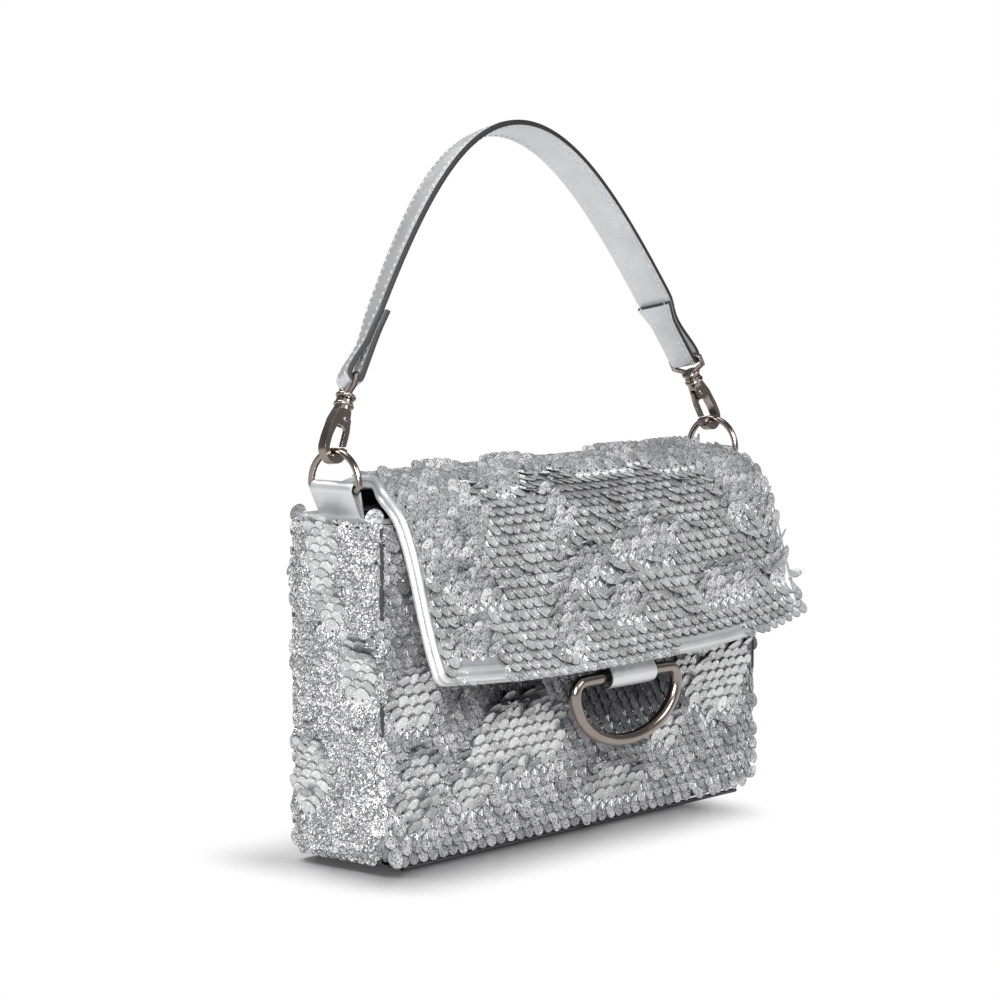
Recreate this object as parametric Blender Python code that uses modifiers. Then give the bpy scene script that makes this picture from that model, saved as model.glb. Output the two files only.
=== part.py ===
"""Evening bag: a small flap bag of sequinned cloth with a clip-on handle.

The bag stands on its base at the origin, +Z up, with its front facing -Y.
Lengths are in metres.
"""
import bmesh
import bpy
from math import acos, atan2, cos, pi, radians, sin, sqrt
from mathutils import Vector
from mathutils.geometry import interpolate_bezier

# Body
body_width = 0.220
body_depth = 0.046
body_height = 0.126
corner_radius = 0.012
cloth = 0.0024
board = 0.0018
lining = 0.0008
lining_corner = 0.007
binding = 0.0012
gap = 0.0003
corner_steps = 6

# Closing magnets
magnet_radius = 0.006
magnet_thickness = 0.0010
magnet_play = 0.0003
magnet_above_lip = 0.016

# Ring tabs and D-rings
leather = 0.0012
ply_gap = 0.0004
tab_width = 0.0195
tab_depth = 0.016
tab_slot_play = 0.0003
ring_inset = 0.0008
ring_wire = 0.00135
ring_radius = 0.0116
ring_leg = 0.0017
ring_corner = 0.0016
bar_rise = 0.0091
bar_play = 0.00025

# Flap, measured from the body's top edges
hinge_inset = 0.008
hinge_rise = 0.0085
hinge_slope = radians(27)
hinge_lift = 0.001
hinge_cut = 0.0004
crown_pull = 0.018
shoulder_out = 0.007
shoulder_drop = 0.002
shoulder_slope = radians(63)
shoulder_pull = 0.017
lip_standoff = 0.0255
lip_drop = 0.0545
lip_slope = radians(60)
lip_pull = 0.016
flap_inset = 0.0035
flap_hinge_inset = 0.0155
flap_straight = 0.016
flap_flare = 0.024
flap_cloth_thickness = 0.0020
flap_board_thickness = 0.0012
flap_lining_thickness = 0.0008
piping_radius = 0.0021
band_lap = 0.014
flap_steps = 12

# Pull ring
pull_wire = 0.0026
pull_half_width = 0.030
pull_drop = 0.0245
pull_loop_width = 0.026
pull_loop_length = 0.018
pull_below_lip = 0.0065

# Clasps, measured from the D-ring's wire along the clasp's own axis
clasp_lean = radians(27)
hook_thickness = 0.0036
hook_inner = 0.0032
hook_arm = 0.0022
hook_play = 0.0009
gate_play = 0.0002
hook_head_top = 0.016
hook_head_half = 0.0028
slot_width = 0.0020
gate_thickness = 0.0014
pivot_in = 0.0010
pivot_height = 0.0126
pin_radius = 0.0006
pin_play = 0.00015
spring_radius = 0.0006
spring_wire = 0.00016
spring_turns = 2.25
spring_pitch = 0.0008
barrel_radius = 0.0032
barrel_height = 0.0035
barrel_sink = 0.0004
stem_radius = 0.0011
stem_play = 0.0002
stem_disc_radius = 0.0017
stem_disc = 0.0010
collar_height = 0.0023
eye_wire = 0.0011
eye_bar_height = 0.0285
eye_shoulder = 0.0045

# Handle
handle_lean = radians(7)
handle_height = 0.127
strap_half_width = 0.0075
strap_end_half = 0.0052
strap_outer_thickness = 0.0010
strap_lining_thickness = 0.0008
strap_start_slope = radians(34)
strap_start_pull = 0.054
strap_apex_pull = 0.038
strap_twist_left = radians(-26)
strap_twist_right = radians(-9)
strap_return = 0.027
strap_merge = 0.016
strap_tongue = 0.017
strap_shoulder = 0.012
arch_steps = 24
fold_steps = 8

# Worked out from the sizes above
half_width = body_width / 2
half_depth = body_depth / 2
top_edge = body_height - binding - gap
inner_half_depth = half_depth - cloth - gap
tongue = 2 * leather + ply_gap
tongue_outer = half_width - cloth - gap
tongue_middle = tongue_outer - tongue / 2
lining_half_width = tongue_outer - tongue - gap
lining_half_depth = inner_half_depth - board - gap
lining_floor = cloth + board + 2 * gap
ring_x = half_width - ring_inset
bar_z = body_height + bar_rise
pivot_z = bar_z + ring_leg
hook_outer = hook_inner + hook_arm
bowl_height = hook_inner - ring_wire - hook_play
barrel_top = hook_head_top + barrel_height
strap_stack = strap_outer_thickness + gap + strap_lining_thickness
fold_radius = eye_wire + gap + strap_stack / 2
eye_half = strap_end_half + eye_wire + gap
eye_bar_x = ring_x - eye_bar_height * sin(clasp_lean)
eye_bar_r = ring_radius + eye_bar_height * cos(clasp_lean)
hinge_point = Vector((half_depth - hinge_inset, body_height + hinge_rise))
hinge_axis = hinge_point + hinge_lift * Vector((sin(hinge_slope), cos(hinge_slope)))


def clear_scene():
    for old in list(bpy.data.objects):
        bpy.data.objects.remove(old, do_unlink=True)


def new_collection(name):
    made = bpy.data.collections.new(name)
    bpy.context.scene.collection.children.link(made)
    return made


def finish(name, colour, roughness, metallic):
    made = bpy.data.materials.new(name)
    made.use_nodes = True
    shader = made.node_tree.nodes["Principled BSDF"]
    shader.inputs["Base Color"].default_value = (*colour, 1.0)
    shader.inputs["Roughness"].default_value = roughness
    shader.inputs["Metallic"].default_value = metallic
    return made


clear_scene()
bag = new_collection("evening_bag")
cutters = new_collection("cutters")
sequin_silver = finish("sequin_silver", (0.52, 0.54, 0.54), 0.35, 0.6)
silver_leather = finish("silver_leather", (0.60, 0.61, 0.62), 0.35, 0.7)
black_lining = finish("black_lining", (0.012, 0.012, 0.014), 0.8, 0.0)
grey_board = finish("grey_board", (0.25, 0.24, 0.22), 0.9, 0.0)
dark_nickel = finish("dark_nickel", (0.30, 0.25, 0.22), 0.28, 1.0)
spring_steel = finish("spring_steel", (0.45, 0.45, 0.45), 0.3, 1.0)


def axis_empty(name, location, rotation=(0, 0, 0), parent=None):
    made = bpy.data.objects.new(name, None)
    bag.objects.link(made)
    made.location = location
    made.rotation_euler = rotation
    made.parent = parent
    return made


def add(name, data, material, parent=None, location=(0, 0, 0), rotation=(0, 0, 0)):
    """Link a mesh or curve as a named piece of the bag."""
    made = bpy.data.objects.new(name, data)
    bag.objects.link(made)
    data.materials.append(material)
    made.parent = parent
    made.location = location
    made.rotation_euler = rotation
    return made


def as_cutter(made):
    """Keep a piece as a tool for a Boolean, out of the bag itself."""
    bag.objects.unlink(made)
    cutters.objects.link(made)
    made.hide_render = True
    made.display_type = "WIRE"
    return made


def boolean(target, operation, tool):
    step = target.modifiers.new(operation.lower(), "BOOLEAN")
    step.operation = operation
    step.solver = "EXACT"
    step.object = tool


def mesh_from(build):
    """Run a bmesh recipe and return its mesh."""
    shape = bmesh.new()
    build(shape)
    made = bpy.data.meshes.new("mesh")
    shape.to_mesh(made)
    shape.free()
    return made


def box_mesh(low, high):
    def build(shape):
        bmesh.ops.create_cube(shape, size=1.0)
        size = Vector(high) - Vector(low)
        middle = (Vector(high) + Vector(low)) / 2
        bmesh.ops.scale(shape, vec=size, verts=shape.verts)
        bmesh.ops.translate(shape, vec=middle, verts=shape.verts)
    return mesh_from(build)


def rod_mesh(radius, length, sides=20):
    def build(shape):
        bmesh.ops.create_cone(shape, cap_ends=True, segments=sides, radius1=radius, radius2=radius, depth=length)
    return mesh_from(build)


def arc(centre, radius, start, stop, steps):
    """Points on a circle in the plane, end points included."""
    turns = [start + (stop - start) * i / steps for i in range(steps + 1)]
    return [Vector((centre[0] + radius * cos(a), centre[1] + radius * sin(a))) for a in turns]


def outline_curve(loops, half_thickness):
    """A flat outline, with holes, extruded both ways along its own Z."""
    curve = bpy.data.curves.new("outline", "CURVE")
    curve.dimensions = "2D"
    curve.fill_mode = "BOTH"
    curve.extrude = half_thickness
    for loop in loops:
        spline = curve.splines.new("POLY")
        spline.points.add(len(loop) - 1)
        for slot, point in zip(spline.points, loop):
            slot.co = (point[0], point[1], 0, 1)
        spline.use_cyclic_u = True
    return curve


def wire_curve(points, radius, closed=False, resolution=2):
    curve = bpy.data.curves.new("wire", "CURVE")
    curve.dimensions = "3D"
    curve.bevel_depth = radius
    curve.bevel_resolution = resolution
    curve.use_fill_caps = not closed
    spline = curve.splines.new("POLY")
    spline.points.add(len(points) - 1)
    for slot, point in zip(spline.points, points):
        slot.co = (*point, 1)
    spline.use_cyclic_u = closed
    return curve


def curve_to_mesh(made):
    """Replace a curve piece by the mesh it evaluates to, with its caps welded."""
    bpy.context.view_layer.update()
    evaluated = made.evaluated_get(bpy.context.evaluated_depsgraph_get())
    mesh = bpy.data.meshes.new_from_object(evaluated)
    shape = bmesh.new()
    shape.from_mesh(mesh)
    bmesh.ops.remove_doubles(shape, verts=shape.verts, dist=0.000005)
    bmesh.ops.recalc_face_normals(shape, faces=shape.faces)
    shape.to_mesh(mesh)
    shape.free()
    solid = bpy.data.objects.new("solid", mesh)
    bag.objects.link(solid)
    solid.parent = made.parent
    solid.location = made.location
    solid.rotation_euler = made.rotation_euler
    name = made.name
    bpy.data.objects.remove(made, do_unlink=True)
    solid.name = name
    return solid


def turned(name, profile, material, parent, steps=20):
    """A turned piece: the profile runs down its outer side, as (radius, height)."""
    def build(shape):
        points = [shape.verts.new((radius, 0, height)) for radius, height in profile]
        for first, second in zip(points, points[1:]):
            shape.edges.new((first, second))
    made = add(name, mesh_from(build), material, parent)
    step = made.modifiers.new("turn", "SCREW")
    step.steps = steps
    step.render_steps = steps
    step.use_merge_vertices = True
    step.merge_threshold = 0.00001
    return made


def ribbon(name, rails, thickness, material, parent=None):
    """A sheet between two rails, given as pairs of points, thickened about its middle."""
    spans = len(rails) - 1

    def build(shape):
        bmesh.ops.create_grid(shape, x_segments=spans, y_segments=1, size=1.0)
        for vert in shape.verts:
            station = round((vert.co.x + 1) / 2 * spans)
            vert.co = rails[station][0 if vert.co.y < 0 else 1]
    made = add(name, mesh_from(build), material, parent)
    step = made.modifiers.new("thickness", "SOLIDIFY")
    step.thickness = thickness
    step.offset = 0
    step.use_even_offset = True
    return made


def smooth(amount):
    amount = min(max(amount, 0.0), 1.0)
    return amount * amount * (3 - 2 * amount)


def mix(first, second, amount):
    return first + (second - first) * amount


# Body panels

def panel_outline(half, low, high, radius):
    """An upright panel with round lower corners, as (x, z)."""
    left = arc((-half + radius, low + radius), radius, -pi, -pi / 2, corner_steps)
    right = arc((half - radius, low + radius), radius, -pi / 2, 0, corner_steps)
    return left + right + [Vector((half, high)), Vector((-half, high))]


upright = (pi / 2, 0, 0)
panel = panel_outline(half_width, 0, top_edge, corner_radius)
panel_y = half_depth - cloth / 2
add("front_panel", outline_curve([panel], cloth / 2), sequin_silver, None, (0, -panel_y, 0), upright)
add("back_panel", outline_curve([panel], cloth / 2), sequin_silver, None, (0, panel_y, 0), upright)

# The sides and the base are one strip: the panel's edge, as thick as the cloth.
strip_inside = panel_outline(half_width - cloth, cloth, top_edge, corner_radius - cloth)
strip_outline = panel[:-2] + [Vector((half_width, top_edge)), Vector((half_width - cloth, top_edge))]
strip_outline += list(reversed(strip_inside[:-2])) + [Vector((-half_width + cloth, top_edge))]
strip_outline += [Vector((-half_width, top_edge))]
add("gusset_strip", outline_curve([strip_outline], inner_half_depth), sequin_silver, None, (0, 0, 0), upright)


def lining_box(shape):
    """An open box with round lower edges at its two ends."""
    bmesh.ops.create_cube(shape, size=1.0)
    low = Vector((-lining_half_width, -lining_half_depth, lining_floor))
    high = Vector((lining_half_width, lining_half_depth, top_edge))
    bmesh.ops.scale(shape, vec=high - low, verts=shape.verts)
    bmesh.ops.translate(shape, vec=(high + low) / 2, verts=shape.verts)
    level = lining_floor + lining_corner / 2
    lower_ends = [edge for edge in shape.edges if all(vert.co.z < level for vert in edge.verts)
                  and abs(edge.verts[0].co.x - edge.verts[1].co.x) < lining]
    bmesh.ops.bevel(shape, geom=lower_ends, offset=lining_corner, segments=4, profile=0.5, affect="EDGES")
    lid = [face for face in shape.faces if face.normal.z > 0.9]
    bmesh.ops.delete(shape, geom=lid, context="FACES")


lining_piece = add("body_lining", mesh_from(lining_box), black_lining)
lining_wall = lining_piece.modifiers.new("wall", "SOLIDIFY")
lining_wall.thickness = lining
lining_wall.offset = -1
lining_wall.use_even_offset = True

board_half = half_width - corner_radius
board_low = corner_radius
board_y = inner_half_depth - board / 2
magnet_z = body_height - lip_drop + magnet_above_lip
board_panel = [Vector((-board_half, board_low)), Vector((board_half, board_low)),
               Vector((board_half, top_edge)), Vector((-board_half, top_edge))]
magnet_hole = arc((0, magnet_z), magnet_radius + magnet_play, 0, 2 * pi, 24)[:-1]
front_loops = [board_panel, magnet_hole]
add("front_board", outline_curve(front_loops, board / 2), grey_board, None, (0, -board_y, 0), upright)
add("back_board", outline_curve([board_panel], board / 2), grey_board, None, (0, board_y, 0), upright)
base_low = (-board_half, -lining_half_depth, cloth + gap)
base_high = (board_half, lining_half_depth, cloth + gap + board)
add("base_board", box_mesh(base_low, base_high), grey_board)
add("panel_magnet", rod_mesh(magnet_radius, magnet_thickness, 24), dark_nickel, None,
    (0, -board_y, magnet_z), upright)


def rectangle(half_x, half_y, centre_x=0.0):
    corners = ((-1, -1), (1, -1), (1, 1), (-1, 1))
    return [Vector((centre_x + a * half_x, b * half_y)) for a, b in corners]


slot_half_x = tongue / 2 + tab_slot_play
slot_half_y = tab_width / 2 + tab_slot_play
binding_loops = [rectangle(half_width, half_depth),
                 rectangle(lining_half_width - lining, lining_half_depth - lining),
                 rectangle(slot_half_x, slot_half_y, tongue_middle),
                 rectangle(slot_half_x, slot_half_y, -tongue_middle)]
add("mouth_binding", outline_curve(binding_loops, binding / 2), silver_leather, None,
    (0, 0, body_height - binding / 2))


# Ring tabs and D-rings

def tangent_turn(foot, centre, radius, side):
    """The angle on a circle where a line from a foot touches it, on one side."""
    away = foot - centre
    return atan2(away.y, away.x) + side * acos(radius / away.length)


def loop_path(foot_one, foot_two, centre, radius, steps=10):
    """A strap up from one foot, over a bar and down to the other, as plane points."""
    start = tangent_turn(foot_one, centre, radius, -1)
    stop = tangent_turn(foot_two, centre, radius, 1)
    while start < stop:
        start += 2 * pi
    return [foot_one] + arc(centre, radius, start, stop, steps) + [foot_two]


def ring_tab(name, side):
    ply = (leather + ply_gap) / 2
    feet_z = body_height - tab_depth
    centre = Vector((ring_x, bar_z))
    over = loop_path(Vector((tongue_middle - ply, body_height)), Vector((tongue_middle + ply, body_height)),
                     centre, ring_wire + bar_play + leather / 2)
    path = [Vector((tongue_middle - ply, feet_z))] + over + [Vector((tongue_middle + ply, feet_z))]
    rails = [(Vector((side * p.x, -tab_width / 2, p.y)), Vector((side * p.x, tab_width / 2, p.y))) for p in path]
    ribbon(name, rails, leather, silver_leather)


def d_ring(name, side):
    """A D-ring of one closed wire: an arc, two short legs and a bar in the tab."""
    axis = axis_empty(name + "_axis", (side * ring_x, 0, bar_z))
    path = arc((0, ring_leg), ring_radius, 0, pi, 24)
    path += arc((-ring_radius + ring_corner, ring_corner), ring_corner, pi, 1.5 * pi, 4)
    path += arc((ring_radius - ring_corner, ring_corner), ring_corner, 1.5 * pi, 2 * pi, 4)
    add(name, wire_curve([(0, p.x, p.y) for p in path], ring_wire, closed=True), dark_nickel, axis)


# Flap

def flap_profile():
    """The flap's outer face from hinge to lip, as evenly cut (y, z) points."""
    shoulder = Vector((-half_depth - shoulder_out, body_height - shoulder_drop))
    lip = Vector((-half_depth - lip_standoff, body_height - lip_drop))
    crown_way = Vector((-cos(hinge_slope), sin(hinge_slope)))
    shoulder_way = Vector((-cos(shoulder_slope), -sin(shoulder_slope)))
    lip_way = Vector((-cos(lip_slope), -sin(lip_slope)))
    start = hinge_point + hinge_cut * crown_way
    over = interpolate_bezier(start, start + crown_pull * crown_way,
                              shoulder - shoulder_pull * shoulder_way, shoulder, flap_steps + 1)
    down = interpolate_bezier(shoulder, shoulder + shoulder_pull * shoulder_way,
                              lip - lip_pull * lip_way, lip, flap_steps + 1)
    return over + down[1:]


flap_outer = flap_profile()


def path_frames(points):
    """Each point of a plane path with its travelled length and its normal to the left of travel."""
    frames = []
    travelled = 0.0
    for i, point in enumerate(points):
        before = points[max(i - 1, 0)]
        after = points[min(i + 1, len(points) - 1)]
        way = (after - before).normalized()
        if i:
            travelled += (point - points[i - 1]).length
        frames.append((point, travelled, Vector((-way.y, way.x))))
    return frames


flap_frames = path_frames(flap_outer)


def flap_half(travelled):
    """Half the flap's width: narrow between the clasps, wider past them."""
    narrow = half_width - flap_hinge_inset
    wide = half_width - flap_inset
    return mix(narrow, wide, smooth((travelled - flap_straight) / flap_flare)) - 2 * piping_radius - gap


flap_pivot = axis_empty("flap_axis", (0, hinge_axis.x, hinge_axis.y))


def on_flap(x, point):
    """A point of the flap, as seen from the flap's own axis."""
    return Vector((x, point.x - hinge_axis.x, point.y - hinge_axis.y))


def flap_layer(name, depth, thickness, material):
    """One layer of the flap, its middle at a depth below the outer face."""
    rails = []
    for point, travelled, inward in flap_frames:
        middle = point + depth * inward
        rails.append((on_flap(-flap_half(travelled), middle), on_flap(flap_half(travelled), middle)))
    return ribbon(name, rails, thickness, material, flap_pivot)


cloth_depth = flap_cloth_thickness / 2
board_depth = flap_cloth_thickness + gap + flap_board_thickness / 2
lining_depth = board_depth + flap_board_thickness / 2 + gap + flap_lining_thickness / 2
flap_total = lining_depth + flap_lining_thickness / 2
flap_layer("flap_cloth", cloth_depth, flap_cloth_thickness, sequin_silver)
flap_stiffener = flap_layer("flap_board", board_depth, flap_board_thickness, grey_board)
flap_layer("flap_lining", lining_depth, flap_lining_thickness, black_lining)

lip_point, lip_travel, lip_inward = flap_frames[-1]
lip_way = Vector((lip_inward.y, -lip_inward.x))


def flap_station(back_from_lip):
    """The flap frame nearest to a distance up from the lip."""
    return min(flap_frames, key=lambda frame: abs(lip_travel - frame[1] - back_from_lip))


def flap_magnet():
    """A disc in a hole of the flap's board, lying along the flap there."""
    point, travelled, inward = flap_station(magnet_above_lip)
    place = on_flap(0, point + board_depth * inward)
    turn = (atan2(inward.y, inward.x) - pi / 2, 0, 0)
    hole = add("flap_magnet_hole", rod_mesh(magnet_radius + magnet_play, 4 * flap_board_thickness, 24),
               grey_board, flap_pivot, place, turn)
    boolean(flap_stiffener, "DIFFERENCE", as_cutter(hole))
    add("flap_magnet", rod_mesh(magnet_radius, magnet_thickness, 24), dark_nickel, flap_pivot, place, turn)


flap_magnet()


def flap_piping():
    """A leather cord round the flap's two sides and lip, at the middle of its layers."""
    out = piping_radius + gap
    side = []
    for point, travelled, inward in flap_frames[:-1]:
        flare = (flap_half(travelled + gap) - flap_half(travelled - gap)) / (2 * gap)
        side.append((flap_half(travelled) + out * sqrt(1 + flare * flare), point + flap_total / 2 * inward))
    end = lip_point + flap_total / 2 * lip_inward
    lip_half = flap_half(lip_travel) + out
    corner = arc((lip_half - out, 0), out, 0, pi / 2, 5)
    side += [(p.x, end + p.y * lip_way) for p in corner]
    route = [on_flap(-x, point) for x, point in side]
    route += [on_flap(x, point) for x, point in reversed(side)]
    add("flap_piping", wire_curve(route, piping_radius), silver_leather, flap_pivot)


flap_piping()


def flap_back_band():
    """The band that carries the flap: lapped on the back panel and turned in to the hinge."""
    middle_y = half_depth + gap + flap_cloth_thickness / 2
    foot = Vector((middle_y, body_height - band_lap))
    bend = Vector((middle_y, body_height + gap))
    inward = Vector((-sin(hinge_slope), -cos(hinge_slope)))
    crown_way = Vector((-cos(hinge_slope), sin(hinge_slope)))
    head = hinge_point + flap_cloth_thickness / 2 * inward - hinge_cut * crown_way
    pull = hinge_inset / 2
    turn = interpolate_bezier(bend, bend + Vector((0, pull)), head - pull * crown_way, head, 9)
    half = flap_half(0)
    rails = [(Vector((-half, p.x, p.y)), Vector((half, p.x, p.y))) for p in [foot] + turn]
    ribbon("flap_back_band", rails, flap_cloth_thickness, sequin_silver)


flap_back_band()


# Pull ring

def pull_ring():
    """A D-shaped ring hanging in a leather loop behind the flap's lip."""
    loop_radius = pull_wire + bar_play + leather / 2
    ply_depth = flap_total + gap + leather / 2
    bar = lip_point + (ply_depth + loop_radius) * lip_inward + pull_below_lip * lip_way
    front = lip_point + ply_depth * lip_inward - (pull_loop_length - pull_below_lip) * lip_way
    back = front + (leather + ply_gap) * lip_inward
    path = loop_path(back, front, bar, loop_radius)
    half = pull_loop_width / 2
    rails = [(on_flap(-half, p), on_flap(half, p)) for p in path]
    ribbon("pull_loop", rails, leather, silver_leather, flap_pivot)
    axis = axis_empty("pull_ring_axis", on_flap(0, bar), (0, 0, 0), flap_pivot)
    corner = pull_wire * 2
    straight = pull_half_width - corner
    route = [(straight, 0)]
    route += [(p.x, p.y) for p in arc((straight, -corner), corner, pi / 2, 0, 4)[1:]]
    lower = pull_drop - corner
    sweep = [pi * i / 20 for i in range(1, 20)]
    route += [(pull_half_width * cos(a), -corner - lower * sin(a)) for a in sweep]
    route += [(p.x, p.y) for p in arc((-straight, -corner), corner, pi, pi / 2, 4)]
    add("pull_ring", wire_curve([(x, 0, z) for x, z in route], pull_wire, closed=True), dark_nickel, axis)


pull_ring()


# Handle

handle_pivot = axis_empty("handle_axis", (0, 0, pivot_z), (-handle_lean, 0, 0))


def handle_arch():
    """Stations along the strap's middle line from the left eye bar to the right one."""
    start = Vector((-eye_bar_x, 0, eye_bar_r))
    apex = Vector((0, 0, handle_height))
    slope = Vector((sin(strap_start_slope), 0, cos(strap_start_slope)))
    rise = interpolate_bezier(start, start + strap_start_pull * slope,
                              apex - Vector((strap_apex_pull, 0, 0)), apex, arch_steps + 1)
    fall = [Vector((-p.x, 0, p.z)) for p in reversed(rise[:-1])]
    points = rise + fall
    lengths = [0.0]
    for first, second in zip(points, points[1:]):
        lengths.append(lengths[-1] + (second - first).length)
    across = Vector((0, 1, 0))
    stations = []
    for i, point in enumerate(points):
        way = (points[min(i + 1, len(points) - 1)] - points[max(i - 1, 0)]).normalized()
        twist = mix(strap_twist_left, strap_twist_right, smooth(2 * lengths[i] / lengths[-1]))
        out = way.cross(across)
        wide = across * cos(twist) + out * sin(twist)
        face = out * cos(twist) - across * sin(twist)
        stations.append((point, lengths[i], way, wide, face))
    return stations


def strap_route():
    """The strap from one return end, through both eyes, to the other: (middle, face, wide, half width)."""
    stations = handle_arch()
    total = stations[-1][1]

    def from_end(length):
        return min(length, total - length)

    def half_at(length):
        return mix(strap_end_half, strap_half_width, smooth((from_end(length) - strap_tongue) / strap_shoulder))

    def spread(length):
        return smooth(from_end(length) / strap_merge)

    def main_station(station):
        point, length, way, wide, face = station
        return (point + face * fold_radius * (1 - spread(length)), face, wide, half_at(length))

    def return_station(station):
        point, length, way, wide, face = station
        below = mix(fold_radius, strap_stack + gap, spread(length))
        return (point - face * below, -face, wide, half_at(length))

    def fold(station, onward):
        point, length, way, wide, face = station
        turns = [pi * i / fold_steps for i in range(1, fold_steps)]
        out = [face * cos(a) + way * onward * sin(a) for a in turns]
        return [(point + way_out * fold_radius, way_out, wide, strap_end_half) for way_out in out]

    left_return = [s for s in stations if s[1] <= strap_return]
    right_return = [s for s in stations if s[1] >= total - strap_return]
    route = [return_station(s) for s in reversed(left_return)]
    route += reversed(fold(stations[0], -1))
    route += [main_station(s) for s in stations]
    route += fold(stations[-1], 1)
    route += [return_station(s) for s in reversed(right_return)]
    return route


def strap_ply(name, offset, thickness, material):
    rails = []
    for middle, face, wide, half in strap_route():
        centre = middle + face * offset
        rails.append((centre - wide * half, centre + wide * half))
    ribbon(name, rails, thickness, material, handle_pivot)


strap_ply("strap_outer", (strap_stack - strap_outer_thickness) / 2, strap_outer_thickness, silver_leather)
strap_ply("strap_lining", -(strap_stack - strap_lining_thickness) / 2, strap_lining_thickness, silver_leather)


# Clasps

def hook_outline():
    """The hook's flat shape: a head, an outer arm and a bowl that ends in a nose."""
    neck = pivot_height - 0.0016
    waist = pivot_height - 0.0032
    centre = (0, bowl_height)
    nose = bowl_height + hook_inner / 2
    points = [Vector((-hook_head_half, hook_head_top)), Vector((hook_head_half, hook_head_top)),
              Vector((hook_outer - 0.0008, neck)), Vector((hook_outer, bowl_height + hook_inner))]
    points += arc(centre, hook_outer, 0, -pi, 16)
    points += [Vector((-hook_outer, nose)), Vector((-hook_inner, nose))]
    points += arc(centre, hook_inner, -pi, 0, 12)
    points += [Vector((hook_inner, bowl_height + hook_inner)), Vector((hook_inner - 0.001, waist))]
    points += [Vector((-hook_head_half, waist + 0.0008)), Vector((-hook_head_half - 0.0006, neck + 0.001))]
    return points


def gate_outline():
    """The gate: a lever from the pivot in the head down to the hook's nose, which its foot clears as it turns."""
    nose = bowl_height + hook_inner / 2
    reach = pivot_height - nose - gate_play
    boss = 0.0015
    shoulder = pivot_height - 0.0034

    def foot(out):
        return Vector((-out, pivot_height - sqrt(reach ** 2 - (out - pivot_in) ** 2)))

    points = [Vector((-hook_outer + 0.0008, pivot_height + 0.0012)), Vector((-pivot_in - boss, pivot_height + boss)),
              Vector((-pivot_in, pivot_height + boss)), Vector((-pivot_in + boss, pivot_height + 0.0006)),
              Vector((-pivot_in + boss, pivot_height - 0.0006)), Vector((-pivot_in, pivot_height - boss)),
              Vector((-hook_inner, shoulder)), foot(hook_inner), foot((hook_inner + hook_outer) / 2),
              foot(hook_outer), Vector((-hook_outer, shoulder))]
    hole = arc((-pivot_in, pivot_height), pin_radius + pin_play, 0, 2 * pi, 16)[:-1]
    return [points, hole]


def sided(points, side):
    """A clasp outline with its outer arm turned to its own side of the bag."""
    return [Vector((side * p[0], p[1])) for p in points]


def hook(name, side, axis):
    flat = add(name, outline_curve([sided(hook_outline(), side)], hook_thickness / 2), dark_nickel,
               axis, (0, 0, 0), upright)
    made = curve_to_mesh(flat)
    low = hook_head_top - barrel_sink
    chamber = hook_head_top + stem_play * 2
    lip = barrel_top - (barrel_height - stem_disc) / 2
    cup = [(0, barrel_top - barrel_height + barrel_sink), (0, low)]
    bore = stem_radius + stem_play
    room = stem_disc_radius + stem_play
    profile = [(0, chamber), (room, chamber), (room, lip), (bore, lip), (bore, barrel_top),
               (barrel_radius - stem_play, barrel_top), (barrel_radius, barrel_top - stem_play),
               (barrel_radius, low), cup[1]]
    barrel = as_cutter(turned(name + "_barrel", profile, dark_nickel, axis))
    boolean(made, "UNION", barrel)
    slot_back = hook_inner - 0.0004
    slot_top = pivot_height + 0.0020
    ends = sorted((-side * 2 * hook_outer, side * slot_back))
    slot_low = (ends[0], -slot_width / 2, pivot_height - 0.0046)
    slot_high = (ends[1], slot_width / 2, slot_top)
    slot = as_cutter(add(name + "_slot", box_mesh(slot_low, slot_high), dark_nickel, axis))
    boolean(made, "DIFFERENCE", slot)
    hole = as_cutter(add(name + "_pin_hole", rod_mesh(pin_radius + pin_play, 2 * hook_thickness, 16),
                         dark_nickel, axis, (-side * pivot_in, 0, pivot_height), upright))
    boolean(made, "DIFFERENCE", hole)
    made.data.materials.append(dark_nickel)


def gate_spring(name, side, axis):
    """A short coil between the gate and the back of its slot."""
    start = side * 0.0006
    points = []
    count = int(spring_turns * 10)
    for i in range(count + 1):
        turn = 2 * pi * i / 10
        along = start + side * spring_pitch * i / 10
        points.append(Vector((along, spring_radius * cos(turn), pivot_height - 0.0013 + spring_radius * sin(turn))))
    apart = [(first - second).length for i, first in enumerate(points) for second in points[i + 6:]]
    print(name, "least gap to itself", round(1000 * (min(apart) - 2 * spring_wire), 3), "mm")
    add(name, wire_curve(points, spring_wire, resolution=1), spring_steel, axis)


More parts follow.
